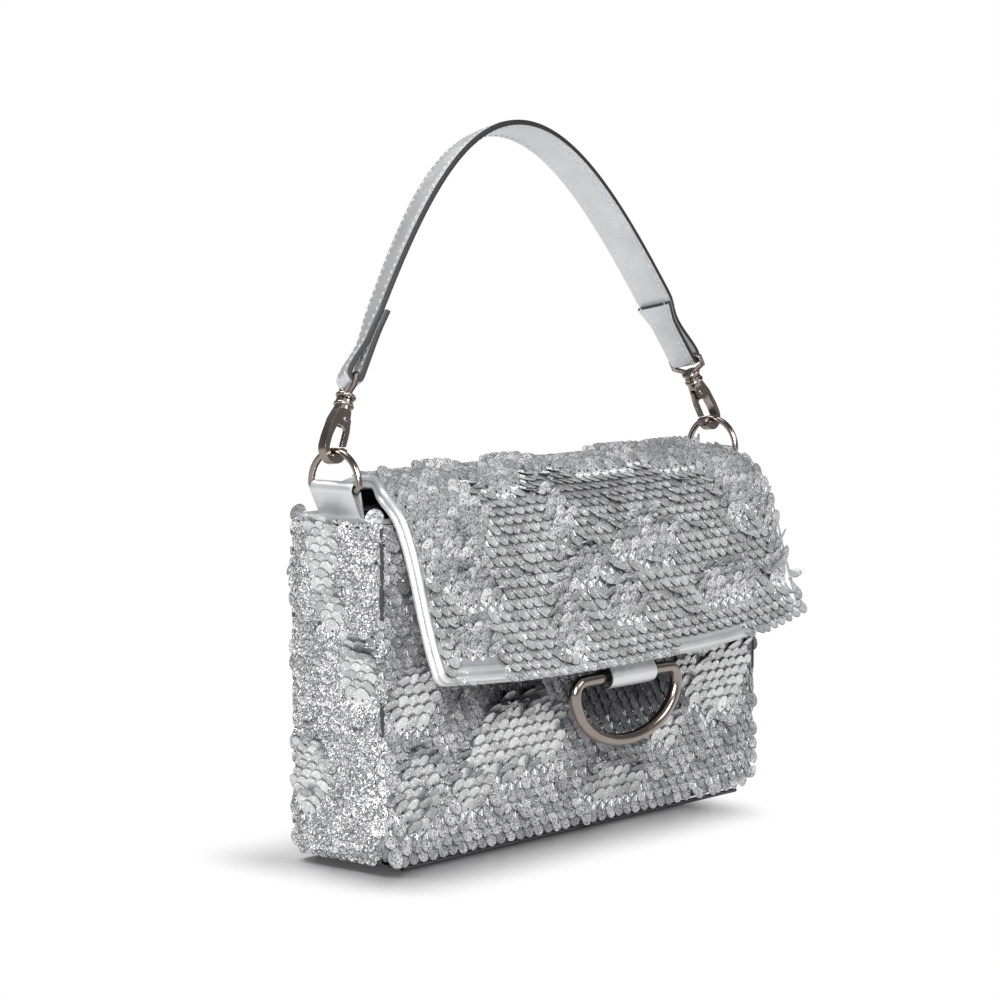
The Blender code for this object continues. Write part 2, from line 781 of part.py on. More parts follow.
def swivel_eye(name, axis, twist):
    """A captive stem, a collar and a wire eye for the strap."""
    disc_low = hook_head_top + 3 * stem_play
    collar_low = barrel_top + 2 * stem_play
    collar_top = collar_low + collar_height
    profile = [(0, collar_top), (barrel_radius - 3 * stem_play, collar_top),
               (barrel_radius, collar_top - 3 * stem_play), (barrel_radius, collar_low),
               (stem_radius, collar_low), (stem_radius, disc_low + stem_disc),
               (stem_disc_radius, disc_low + stem_disc), (stem_disc_radius, disc_low), (0, disc_low)]
    eye_axis = axis_empty(name + "_axis", (0, 0, 0), (0, 0, twist), axis)
    stem = as_cutter(turned(name + "_stem", profile, dark_nickel, eye_axis))
    shoulder = eye_bar_height - eye_shoulder
    root = collar_top - eye_wire
    half = [(eye_wire, root), (eye_half, shoulder), (eye_half, eye_bar_height - eye_wire),
            (eye_half - eye_wire, eye_bar_height)]
    route = [(0, -w, q) for w, q in half] + [(0, w, q) for w, q in reversed(half)]
    loop = add(name, wire_curve(route, eye_wire, closed=True), dark_nickel, eye_axis)
    made = curve_to_mesh(loop)
    boolean(made, "UNION", stem)
    made.data.materials.append(dark_nickel)


def clasp(word, side, twist):
    axis = axis_empty(word + "_clasp_axis", (side * ring_x, 0, ring_radius), (0, -side * clasp_lean, 0), handle_pivot)
    hook(word + "_hook", side, axis)
    gate_axis = axis_empty(word + "_gate_axis", (-side * pivot_in, 0, pivot_height), (0, 0, 0), axis)
    loops = [[Vector((p.x + side * pivot_in, p.y - pivot_height)) for p in sided(loop, side)]
             for loop in gate_outline()]
    add(word + "_gate", outline_curve(loops, gate_thickness / 2), dark_nickel, gate_axis, (0, 0, 0), upright)
    add(word + "_gate_pin", rod_mesh(pin_radius, hook_thickness, 16), dark_nickel, gate_axis, (0, 0, 0), upright)
    gate_spring(word + "_gate_spring", side, axis)
    swivel_eye(word + "_swivel_eye", axis, twist)


for word, side, twist in (("left", -1, strap_twist_left), ("right", 1, -strap_twist_right)):
    ring_tab(word + "_ring_tab", side)
    d_ring(word + "_d_ring", side)
    clasp(word, side, twist)

for piece in bag.objects:
    if piece.type == "MESH":
        piece.data.shade_smooth()
        piece.data.set_sharp_from_angle(angle=radians(35))
bpy.context.view_layer.update()
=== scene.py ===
# %% [markdown]
# # A sequinned evening bag
# The bag's joints and solids come packed as a frame. This lesson dresses that frame: cloth, leather,
# metal and several thousand sequins go where the solids are, and each new piece rides on a body of the
# frame, so the flap still lifts and the handle still tips.

# %% Load the frame
from functools import partial
from math import acos, atan2, cos, exp, pi, radians, sin, sqrt
import bmesh
import bpy
from mathutils import Matrix, Vector, noise
from mathutils.geometry import interpolate_bezier


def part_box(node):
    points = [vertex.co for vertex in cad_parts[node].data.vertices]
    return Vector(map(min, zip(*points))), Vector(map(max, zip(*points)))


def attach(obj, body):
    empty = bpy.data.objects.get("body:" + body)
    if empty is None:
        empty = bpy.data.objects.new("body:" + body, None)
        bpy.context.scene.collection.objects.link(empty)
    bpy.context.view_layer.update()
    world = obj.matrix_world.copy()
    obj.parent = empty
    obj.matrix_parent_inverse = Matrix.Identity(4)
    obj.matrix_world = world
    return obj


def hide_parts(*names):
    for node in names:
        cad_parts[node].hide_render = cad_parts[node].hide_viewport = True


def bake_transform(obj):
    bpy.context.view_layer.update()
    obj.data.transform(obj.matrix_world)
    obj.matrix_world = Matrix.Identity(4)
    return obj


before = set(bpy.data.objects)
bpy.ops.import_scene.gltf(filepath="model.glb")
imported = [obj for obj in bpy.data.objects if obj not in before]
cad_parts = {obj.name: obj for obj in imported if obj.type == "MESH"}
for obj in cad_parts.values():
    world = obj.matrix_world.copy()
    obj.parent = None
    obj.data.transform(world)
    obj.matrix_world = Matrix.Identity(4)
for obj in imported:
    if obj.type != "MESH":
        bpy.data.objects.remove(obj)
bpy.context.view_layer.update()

mm = 0.001
scene = bpy.context.scene

# %% [markdown]
# ## Camera
# The camera stands to the front left, a little above the bag, with a long lens. It could be placed by
# eye, but here it comes from a fit to the bag's corners: a turn, a height angle, a distance and two
# small sideways steps, so each of them can be changed alone.

# %% Camera
view_turn, view_rise = radians(-48.973), radians(5.505)
view_distance, view_side, view_up = 1181.08 * mm, -13.883 * mm, 122.71 * mm


def link_new(name, data):
    """A new object in the scene, from its data."""
    made = bpy.data.objects.new(name, data)
    scene.collection.objects.link(made)
    return made


backward = Vector((sin(view_turn) * cos(view_rise), -cos(view_turn) * cos(view_rise), sin(view_rise)))
rightward = Vector((cos(view_turn), sin(view_turn), 0))
camera = link_new("camera", bpy.data.cameras.new("camera"))
camera.data.sensor_width, camera.data.lens = 36, 111.6
camera.data.clip_start, camera.data.clip_end = 0.05, 60
camera.location = backward * view_distance + rightward * view_side + backward.cross(rightward) * view_up
camera.rotation_euler = (-backward).to_track_quat("-Z", "Y").to_euler()
scene.camera = camera
print("camera at", [round(v, 3) for v in camera.location])

# %% [markdown]
# ## Small tools
# Every colour below is written as a hex value, as a paint chart gives it, and one function turns it
# into the linear numbers that Blender works with. One more function adds a node with its settings and
# its links, for shaders and Geometry Nodes alike. Some inputs go by number: a colour Mix takes its
# amount at 0 and its colours at 6 and 7, and gives output 2. A Map Range takes its value at 0, the range
# that it comes from at 1 and 2, and the range that it goes to at 3 and 4.

# %% Colours and nodes
mix_node, range_node, noise_node = "ShaderNodeMix", "ShaderNodeMapRange", "ShaderNodeTexNoise"
math_node, vector_node, bump_node = "ShaderNodeMath", "ShaderNodeVectorMath", "ShaderNodeBump"
place_node = "ShaderNodeTexCoord"
blend, eased = {"data_type": "RGBA"}, {"interpolation_type": "SMOOTHSTEP"}


def paint(code):
    """A hex colour as linear red, green, blue and alpha."""
    parts = [int(code[i:i + 2], 16) / 255 for i in (1, 3, 5)]
    return tuple(p / 12.92 if p <= 0.04045 else ((p + 0.055) / 1.055) ** 2.4 for p in parts) + (1.0,)


def fill(node, inputs):
    """Fill or link a node's inputs, by name or number."""
    for key, value in inputs.items():
        if isinstance(value, bpy.types.NodeSocket):
            node.id_data.links.new(value, node.inputs[key])
        else:
            node.inputs[key].default_value = value


def add_node(tree, kind, inputs=None, output=0, **settings):
    """Add a node, set its options, fill its inputs, and give back one output, or all of them for None."""
    made = tree.nodes.new(kind)
    for key, value in settings.items():
        setattr(made, key, value)
    fill(made, inputs or {})
    return made.outputs if output is None else made.outputs[output]


def new_material(name, **sockets):
    """A material with plain values on its Principled shader, the shader, and a way to add nodes."""
    made = bpy.data.materials.new(name)
    made.use_nodes = True
    shader = made.node_tree.nodes["Principled BSDF"]
    fill(shader, {key.replace("_", " "): value for key, value in sockets.items()})
    return made, shader, partial(add_node, made.node_tree)


def mesh_from(name, shape):
    """The mesh of a finished bmesh, which is then let go."""
    mesh = bpy.data.meshes.new(name)
    shape.to_mesh(mesh)
    shape.free()
    return mesh


print("mid grey in linear light:", round(paint("#808080")[0], 3))

# %% [markdown]
# ## Studio
# The bag stands on a white sweep under soft light from the upper left. A white floor could be painted
# in, but then it would lose the bag's shadow. So the floor is a real pale surface near the bag, and it
# fades to plain white farther out. Flags keep the two front lamps off the floor, as a photographer's
# black cards do, so the shadow under the front edge stays deep.

# %% Floor and world
floor_half, floor_drop = 8.0, 0.2 * mm
shade_shift, shade_half, shade_fall = (25 * mm, 0, 0), (85 * mm, 21 * mm, 0), (32, 22, 0)
white = paint("#ffffff")


def build_floor():
    """A floor that is pale and shaded under the bag, and glows white past the shade's half sizes."""
    shape = bmesh.new()
    bmesh.ops.create_grid(shape, x_segments=1, y_segments=1, size=floor_half)
    floor = link_new("studio_floor", mesh_from("studio_floor", shape))
    floor.location.z = -floor_drop
    material, shader, add = new_material("white_studio_sweep", Base_Color=paint("#eeeeef"), Roughness=0.25,
                                         Specular_IOR_Level=0.4)
    past = add(place_node, output="Object")
    for operation, other in (("ADD", shade_shift), ("ABSOLUTE", (0, 0, 0)), ("SUBTRACT", shade_half),
                             ("MAXIMUM", (0, 0, 0)), ("MULTIPLY", shade_fall)):
        past = add(vector_node, {0: past, 1: other}, operation=operation)
    far = add(vector_node, {0: past}, "Value", operation="LENGTH")
    fade = add(range_node, {0: far, 1: 0.0, 2: 1.0}, **eased)
    fade = add(range_node, {0: fade, 3: 0.05, 4: 1.0})
    path = add("ShaderNodeLightPath", output=None)
    seen = add(math_node, {0: path["Is Camera Ray"], 1: path["Is Glossy Ray"]}, operation="MAXIMUM")
    seen = add(math_node, {0: seen, 1: 0.8}, operation="MAXIMUM")
    amount = add(math_node, {0: fade, 1: seen}, operation="MULTIPLY")
    glow = add("ShaderNodeEmission", {"Color": white, "Strength": 1.0})
    both = add("ShaderNodeMixShader", {0: amount, 1: shader.outputs[0], 2: glow})
    fill(material.node_tree.nodes["Material Output"], {"Surface": both})
    floor.data.materials.append(material)
    return floor


def build_world():
    """Air that lights the bag softly, a little more from low down, and looks plain white."""
    scene.world = bpy.data.worlds.new("studio_air")
    scene.world.use_nodes = True
    tree = scene.world.node_tree
    add = partial(add_node, tree)
    place = add(place_node, output="Generated")
    height = add("ShaderNodeSeparateXYZ", {0: place}, 2)
    light = add(range_node, {0: height, 1: 0.0, 2: 0.9, 3: 0.3, 4: 0.13}, **eased)
    air = tree.nodes["Background"]
    fill(air, {"Color": paint("#f6f7f8"), "Strength": light})
    plain = add("ShaderNodeBackground", {"Color": white, "Strength": 1.0})
    seen = add("ShaderNodeLightPath", output="Is Camera Ray")
    both = add("ShaderNodeMixShader", {0: seen, 1: air.outputs[0], 2: plain})
    fill(tree.nodes["World Output"], {"Surface": both})


def soft_box(name, place, aim, width, height, watts, flag=None):
    """A soft lamp that faces a point. The flag is a collection that it leaves out."""
    lamp = bpy.data.lights.new(name, "AREA")
    lamp.shape, lamp.size, lamp.size_y, lamp.energy = "RECTANGLE", width, height, watts
    made = link_new(name, lamp)
    made.location = place
    made.rotation_euler = (Vector(aim) - Vector(place)).to_track_quat("-Z", "Y").to_euler()
    made.light_linking.receiver_collection = flag


flagged = bpy.data.collections.new("flagged_floor")
flagged.objects.link(build_floor())
flagged.collection_objects[0].light_linking.link_state = "EXCLUDE"
build_world()
soft_box("key_box", (-0.98, -0.8, 0.65), (0, 0, 0.08), 0.6, 0.5, 33, flagged)
soft_box("fill_box", (0.2, -1.1, 0.9), (0, 0, 0.08), 0.8, 0.6, 8.5, flagged)
soft_box("top_box", (-0.2, 0.5, 1.3), (0, 0, 0.1), 0.8, 0.8, 14)
scene.view_settings.view_transform = "Standard"
print("three soft boxes, two of them flagged off the floor")

# %% [markdown]
# ## Sequin finish
# The sequins are punched from thin polyester film. One face is brushed to a satin silver, the other is
# coated with silver glitter. A dark ring round each disc is partly the punch's dark cut edge and partly
# painted shade for the shadow line under a disc's edge, so on the satin face it is darkest at the tip.
# Each face could have its own material, but one shader that reads a number stored on the faces keeps the
# disc in one piece. The glitter is a field of flat flakes, each with its own tilt, so a few of them
# flash and the rest stay grey. The bright ones are also painted near white, a painted sparkle, and the
# satin face gets a few white specks of painted sparkle too. Real flakes are about 0.2 mm; they are drawn
# twice as coarse, so that they show. A second number, the tone, differs from disc to disc, and below
# zero it stands for painted shade, which darkens the glitter towards near black.

# %% Sequin film
sequin_radius, sequin_drop, sequin_thickness, sequin_cup = 3.4 * mm, 1.4 * mm, 0.18 * mm, 0.45 * mm
flake_size, hole_radius = 0.42 * mm, 0.5 * mm


def sequin_film():
    material, shader, add = new_material("sequin_polyester_film")
    place = add(place_node, output="Object")
    side, tone = [add("ShaderNodeAttribute", output="Fac", attribute_name=name)
                  for name in ("side", "tone")]
    flakes = add("ShaderNodeTexVoronoi", {"Vector": place, "Scale": 1 / flake_size}, "Color")
    split = add("ShaderNodeSeparateColor", {0: flakes}, None)
    # Painted sparkle: brighter flakes are painted towards white, on top of the real flash from their tilt.
    bright = add(math_node, {0: tone, 1: 0.5, 2: split[0]}, operation="MULTIPLY_ADD")
    flash = add(range_node, {0: bright, 1: 0.5, 2: 1.4})
    dark_flake = add(range_node, {0: split[2], 1: 0.10, 2: 0.17, 3: 1.0, 4: 0.0})
    # Painted sparkle: a few cells of the satin face are painted white.
    painted_sparkle = add(range_node, {0: split[1], 1: 0.86, 2: 0.92})
    # Painted shade: a tone below zero darkens the glitter face towards #26272a.
    painted_shade = add(range_node, {0: tone, 1: 0.0, 2: -1.0, 4: 0.68})
    painted_shade = add(math_node, {0: painted_shade, 1: side}, operation="MULTIPLY")

    # The map on each disc is in millimetres from its hole: a dark hole, and a dark ring round the disc that
    # is partly cut edge and partly painted shade; on the satin face it fades out towards the hole.
    disc = add("ShaderNodeUVMap", uv_map="disc")
    reach = add("ShaderNodeSeparateXYZ", {0: disc}, 1)
    tip_low, tip_high = ((sequin_drop + part * sequin_radius) / mm for part in (0.1, 0.6))
    tip = add(range_node, {0: reach, 1: tip_low, 2: tip_high, 4: 0.95})
    edge = add(range_node, {0: side, 3: tip, 4: 0.5})
    rings = []
    for middle, near, far, full in ((0.0, 1.2 * hole_radius, 0.8 * hole_radius, 1.0),
                                    (sequin_drop, 0.91 * sequin_radius, 0.96 * sequin_radius, edge)):
        away = add(vector_node, {0: disc, 1: (0, middle / mm, 0)}, "Value", operation="DISTANCE")
        rings.append(add(range_node, {0: away, 1: near / mm, 2: far / mm, 4: full}))

    film = {"satin": paint("#a8a9a9"), "glitter": paint("#808184")}
    for name, amount, over in (("glitter", flash, white), ("glitter", dark_flake, paint("#56585b")),
                               ("satin", tone, paint("#d6d7d7")), ("satin", painted_sparkle, white)):
        film[name] = add(mix_node, {0: amount, 6: film[name], 7: over}, 2, **blend)
    colour = film["satin"]
    # On top go the glitter face, the painted shade, the dark hole and the dark ring (cut edge and painted
    # shade).
    for amount, over in ((side, film["glitter"]), (painted_shade, paint("#26272a")), (rings[0], paint("#1c1d1e")),
                         (rings[1], paint("#505254"))):
        colour = add(mix_node, {0: amount, 6: colour, 7: over}, 2, **blend)
    rough, metal, strength = [add(range_node, {0: side, 3: on_satin, 4: on_glitter})
                              for on_satin, on_glitter in ((0.36, 0.3), (0.7, 0.5), (0.10, 0.75))]
    straight = add("ShaderNodeNewGeometry", output="Normal")
    lean = flakes
    for operation, inputs in (("SUBTRACT", {1: (0.5, 0.5, 0.5)}), ("SCALE", {"Scale": strength}),
                              ("ADD", {1: straight}), ("NORMALIZE", {})):
        lean = add(vector_node, {0: lean, **inputs}, operation=operation)
    fill(shader, {"Base Color": colour, "Roughness": rough, "Metallic": metal, "Normal": lean})
    return material


sequin_material = sequin_film()
print(sequin_material.name, "with flakes of", round(flake_size / mm, 2), "mm")

# %% [markdown]
# ## Ground cloth and thread
# Under the sequins lies a fine silver net, sewn through with pale thread. It shows only where the
# sequins part, so a simple net of crossing bands is enough. Thread, like most things here, is not one
# colour: it drifts between two close tones.

# %% Ground cloth and thread
# The sheets' map runs from 0 to 1, so a size becomes a count over the width of the cloth.
cloth_width, net_size, net_cloud_size, fibre_size = 220 * mm, 11 / 12 * mm, 22 / 3 * mm, 0.25 * mm


def clouded(name, dark, pale, size, detail=2.0, **sockets):
    """A material that drifts between two tones, with its shader, adder, place and cloud."""
    material, shader, add = new_material(name, **sockets)
    place = add(place_node, output="Object")
    cloud = add(noise_node, {"Vector": place, "Scale": 1 / size, "Detail": detail})
    colour = add(mix_node, {0: cloud, 6: paint(dark), 7: paint(pale)}, 2, **blend)
    fill(shader, {"Base Color": colour})
    return material, shader, add, place, cloud


def ground_net():
    material, shader, add = new_material("silver_nylon_net", Roughness=0.6, Metallic=0.3)
    place = add(place_node, output="UV")
    knots = add("ShaderNodeTexChecker", {"Vector": place, "Scale": cloth_width / net_size,
                                         "Color1": paint("#77797b"), "Color2": paint("#4a4c4e")}, None)
    cloud = add(noise_node, {"Vector": place, "Scale": cloth_width / net_cloud_size})
    colour = add(mix_node, {0: cloud, 6: knots[0], 7: paint("#8f9193")}, 2, **blend)
    bump = add(bump_node, {"Height": knots[1], "Strength": 0.4, "Distance": 0.2 * mm})
    fill(shader, {"Base Color": colour, "Normal": bump})
    return material


net_material = ground_net()
# The third, dark material is painted shade: it goes on the cords that stand for shade in the seam grooves
# and under the base.
thread_material, seam_material, shade_cord_material = [
    clouded(name, dark, pale, fibre_size, Roughness=0.5)[0]
    for name, dark, pale in (("white_polyester_thread", "#c9cbcc", "#ffffff"),
                             ("silver_polyester_thread", "#8f9194", "#b9bbbe"),
                             ("dark_polyester_thread", "#1d1e20", "#343538"))]
print(net_material.name, thread_material.name, seam_material.name, shade_cord_material.name)

# %% [markdown]
# ## Cloth sheets
# Each cloth panel is a grid of points that follows the solid under it, with a little slack: the middle
# swells, the edges roll in to the seam and slow waves run through it. Two vectors are stored on every
# point for the sequins. The first is the way they fall, with no length where the cloth stays bare. The
# second is how they lie: turned over or not, how far they sway, and how far they lean out.

# %% Cloth sheet tools
patch_edge, patch_waver, patch_wave_size = 9, 0.35, 9 * mm


def smooth(amount):
    amount = min(max(amount, 0.0), 1.0)
    return amount * amount * (3 - 2 * amount)


def mix(first, second, amount):
    return first + (second - first) * amount


def wave(x, y, size, seed):
    """Slow noise from -1 to 1 over a plane in metres."""
    return noise.noise(Vector((x / size, y / size, seed)))


def away_from(patch, x, y):
    """0 in the middle of an oval patch and 1 on its edge. A patch is a centre and half sizes, in mm."""
    centre_x, centre_y, half_x, half_y = patch
    return ((x / mm - centre_x) / half_x) ** 2 + ((y / mm - centre_y) / half_y) ** 2


def brushed(x, y, patches, seed):
    """From 0 to 1, how far a place lies inside patches with uneven edges."""
    inside = max([-1.0] + [1 - away_from(patch, x, y) for patch in patches])
    return smooth(0.5 + patch_edge * (inside + patch_waver * wave(x, y, patch_wave_size, seed)))


def heading(points, k):
    """The direction of a line of points at one of them."""
    return (points[min(k + 1, len(points) - 1)] - points[max(k - 1, 0)]).normalized()


def grid_mesh(name, points, outward):
    """A sheet from rows of points, its faces turned outward, with a UV map over the whole sheet."""
    wide, long = len(points), len(points[0])
    faces = [(i * long + j, (i + 1) * long + j, (i + 1) * long + j + 1, i * long + j + 1)
             for i in range(wide - 1) for j in range(long - 1)]
    i, j = wide // 2, long // 2
    normal = (points[i + 1][j] - points[i][j]).cross(points[i][j + 1] - points[i][j])
    if normal.dot(Vector(outward)) < 0:
        faces = [face[::-1] for face in faces]
    mesh = bpy.data.meshes.new(name)
    mesh.from_pydata([tuple(p) for row in points for p in row], [], faces)
    layer = mesh.uv_layers.new(name="sheet")
    for loop in mesh.loops:
        i, j = divmod(loop.vertex_index, long)
        layer.data[loop.index].uv = (i / (wide - 1), j / (long - 1))
    mesh.shade_smooth()
    return mesh


def note(mesh, name, vectors):
    """Store one vector on every point of a mesh."""
    layer = mesh.attributes.new(name, "FLOAT_VECTOR", "POINT")
    for slot, vector in zip(layer.data, vectors):
        slot.vector = vector


def plain_mesh(made, *extras):
    """Apply every modifier of an object, leave it with the plain mesh, and drop stored vectors."""
    bpy.context.view_layer.update()
    evaluated = made.evaluated_get(bpy.context.evaluated_depsgraph_get())
    mesh = bpy.data.meshes.new_from_object(evaluated)
    mesh.name = made.name
    made.modifiers.clear()
    made.data = mesh
    for extra in extras:
        if extra in mesh.attributes:
            mesh.attributes.remove(mesh.attributes[extra])
    return made


def piece(name, mesh, materials, body, slot, *nodes):
    """Link a finished mesh, put it on the body that it rides on, and hide the solids that it stands for."""
    made = link_new(name, mesh)
    for material in materials:
        mesh.materials.append(material)
    if body:
        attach(made, body)
    if nodes:
        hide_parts(*nodes)
    return made


def thicken(made, thickness, *extras):
    """Give a sheet a wall behind its outer face."""
    wall = made.modifiers.new("wall", "SOLIDIFY")
    wall.thickness, wall.offset = thickness, -1
    return plain_mesh(made, *extras)


print("slow noise at one place:", round(wave(0.1, 0.05, 34 * mm, 3), 3))

# %% [markdown]
# ## One sequin and one stitch
# A sequin hangs from a hole off its centre, so the hole is the mesh's origin and the disc reaches down
# from there. Fourteen corners look round at this size. The stitch is a short thread that lies over the
# edge of the hole.

# %% Sequin and stitch
rim_corners = 14
stitch_boxes = (((-0.17, -2.3, 0.08), (0.17, 0.1, 0.24)), ((-1.6, -1.15, 0.08), (1.6, -1.03, 0.16)),
                ((-1.6, -1.6, 0.08), (1.6, -1.48, 0.16)))


def make_sequin(name, top):
    """A cupped disc whose upper face is satin (0) or glitter (1)."""
    shape = bmesh.new()
    rims = []
    turns = [2 * pi * i / rim_corners for i in range(rim_corners)]
    for level in (-sequin_thickness / 2, sequin_thickness / 2):
        rim = [shape.verts.new((sequin_radius * cos(a), sequin_drop + sequin_radius * sin(a), level))
               for a in turns]
        middle = shape.verts.new((0, sequin_drop, level - sequin_cup))
        for i in range(rim_corners):
            first, second = (rim[i - 1], rim[i]) if level > 0 else (rim[i], rim[i - 1])
            shape.faces.new((middle, first, second)).smooth = True
        rims.append(rim)
    for i in range(rim_corners):
        wall = shape.faces.new((rims[0][i - 1], rims[0][i], rims[1][i], rims[1][i - 1]))
        for edge in wall.edges:
            edge.smooth = False
    layer = shape.loops.layers.uv.new("disc")
    side = shape.faces.layers.float.new("side")
    for face in shape.faces:
        face.normal_update()
        face[side] = top if face.normal.z > -0.5 else 1.0 - top
        for loop in face.loops:
            loop[layer].uv = loop.vert.co.xy / mm
    return link_new(name, mesh_from(name, shape))


def make_stitch():
    """Thread over both faces of a disc, from its hole past its near edge, with two cross threads."""
    shape = bmesh.new()
    for side in (-1, 1):
        for low, high in stitch_boxes:
            for vert in bmesh.ops.create_cube(shape, size=1.0)["verts"]:
                x, y, z = (mix(a, b, c + 0.5) * mm for a, b, c in zip(low, high, vert.co))
                vert.co = (x, y, side * z)
    bmesh.ops.recalc_face_normals(shape, faces=shape.faces)
    return link_new("stitch", mesh_from("stitch", shape))


body_sequin, flap_sequin = make_sequin("body_sequin", 1.0), make_sequin("flap_sequin", 0.0)
stitch = make_stitch()
print("one sequin has", len(body_sequin.data.polygons), "faces")

# %% [markdown]
# ## Sewing sequins with Geometry Nodes
# Thousands of discs could be placed one by one in a loop. Geometry Nodes do it as a sewing machine
# does: a grid of stitches, every other row half a step along, is laid over the sheet by its UV map. At
# each stitch the sheet's normal and the way of falling turn the disc. It then sways, rolls a little so
# that it laps over its right neighbour, and flips up where a hand has turned it over. Where the fall is
# longer than 1 the disc gets painted shade: its tone drops below zero, which the film paints dark, and
# its stitch is left out, so that no pale thread shows in the painted shade.

# %% Sequin tree
def new_tree(name, inputs):
    """A Geometry Nodes tree with named inputs and one output, its input sockets, and a way to add nodes."""
    tree = bpy.data.node_groups.new(name, "GeometryNodeTree")
    for key, kind in inputs.items():
        tree.interface.new_socket(key, in_out="INPUT", socket_type="NodeSocket" + kind)
    tree.interface.new_socket("Sewn", in_out="OUTPUT", socket_type="NodeSocketGeometry")
    add = partial(add_node, tree)
    return tree, add("NodeGroupInput", output=None), add


def finish_tree(add, sewn, material):
    """Make the instances real, give them their material and hand them out."""
    real = add("GeometryNodeRealizeInstances", {0: sewn})
    done = add("GeometryNodeSetMaterial", {"Geometry": real, "Material": material})
    add("NodeGroupOutput", {0: done}, None)


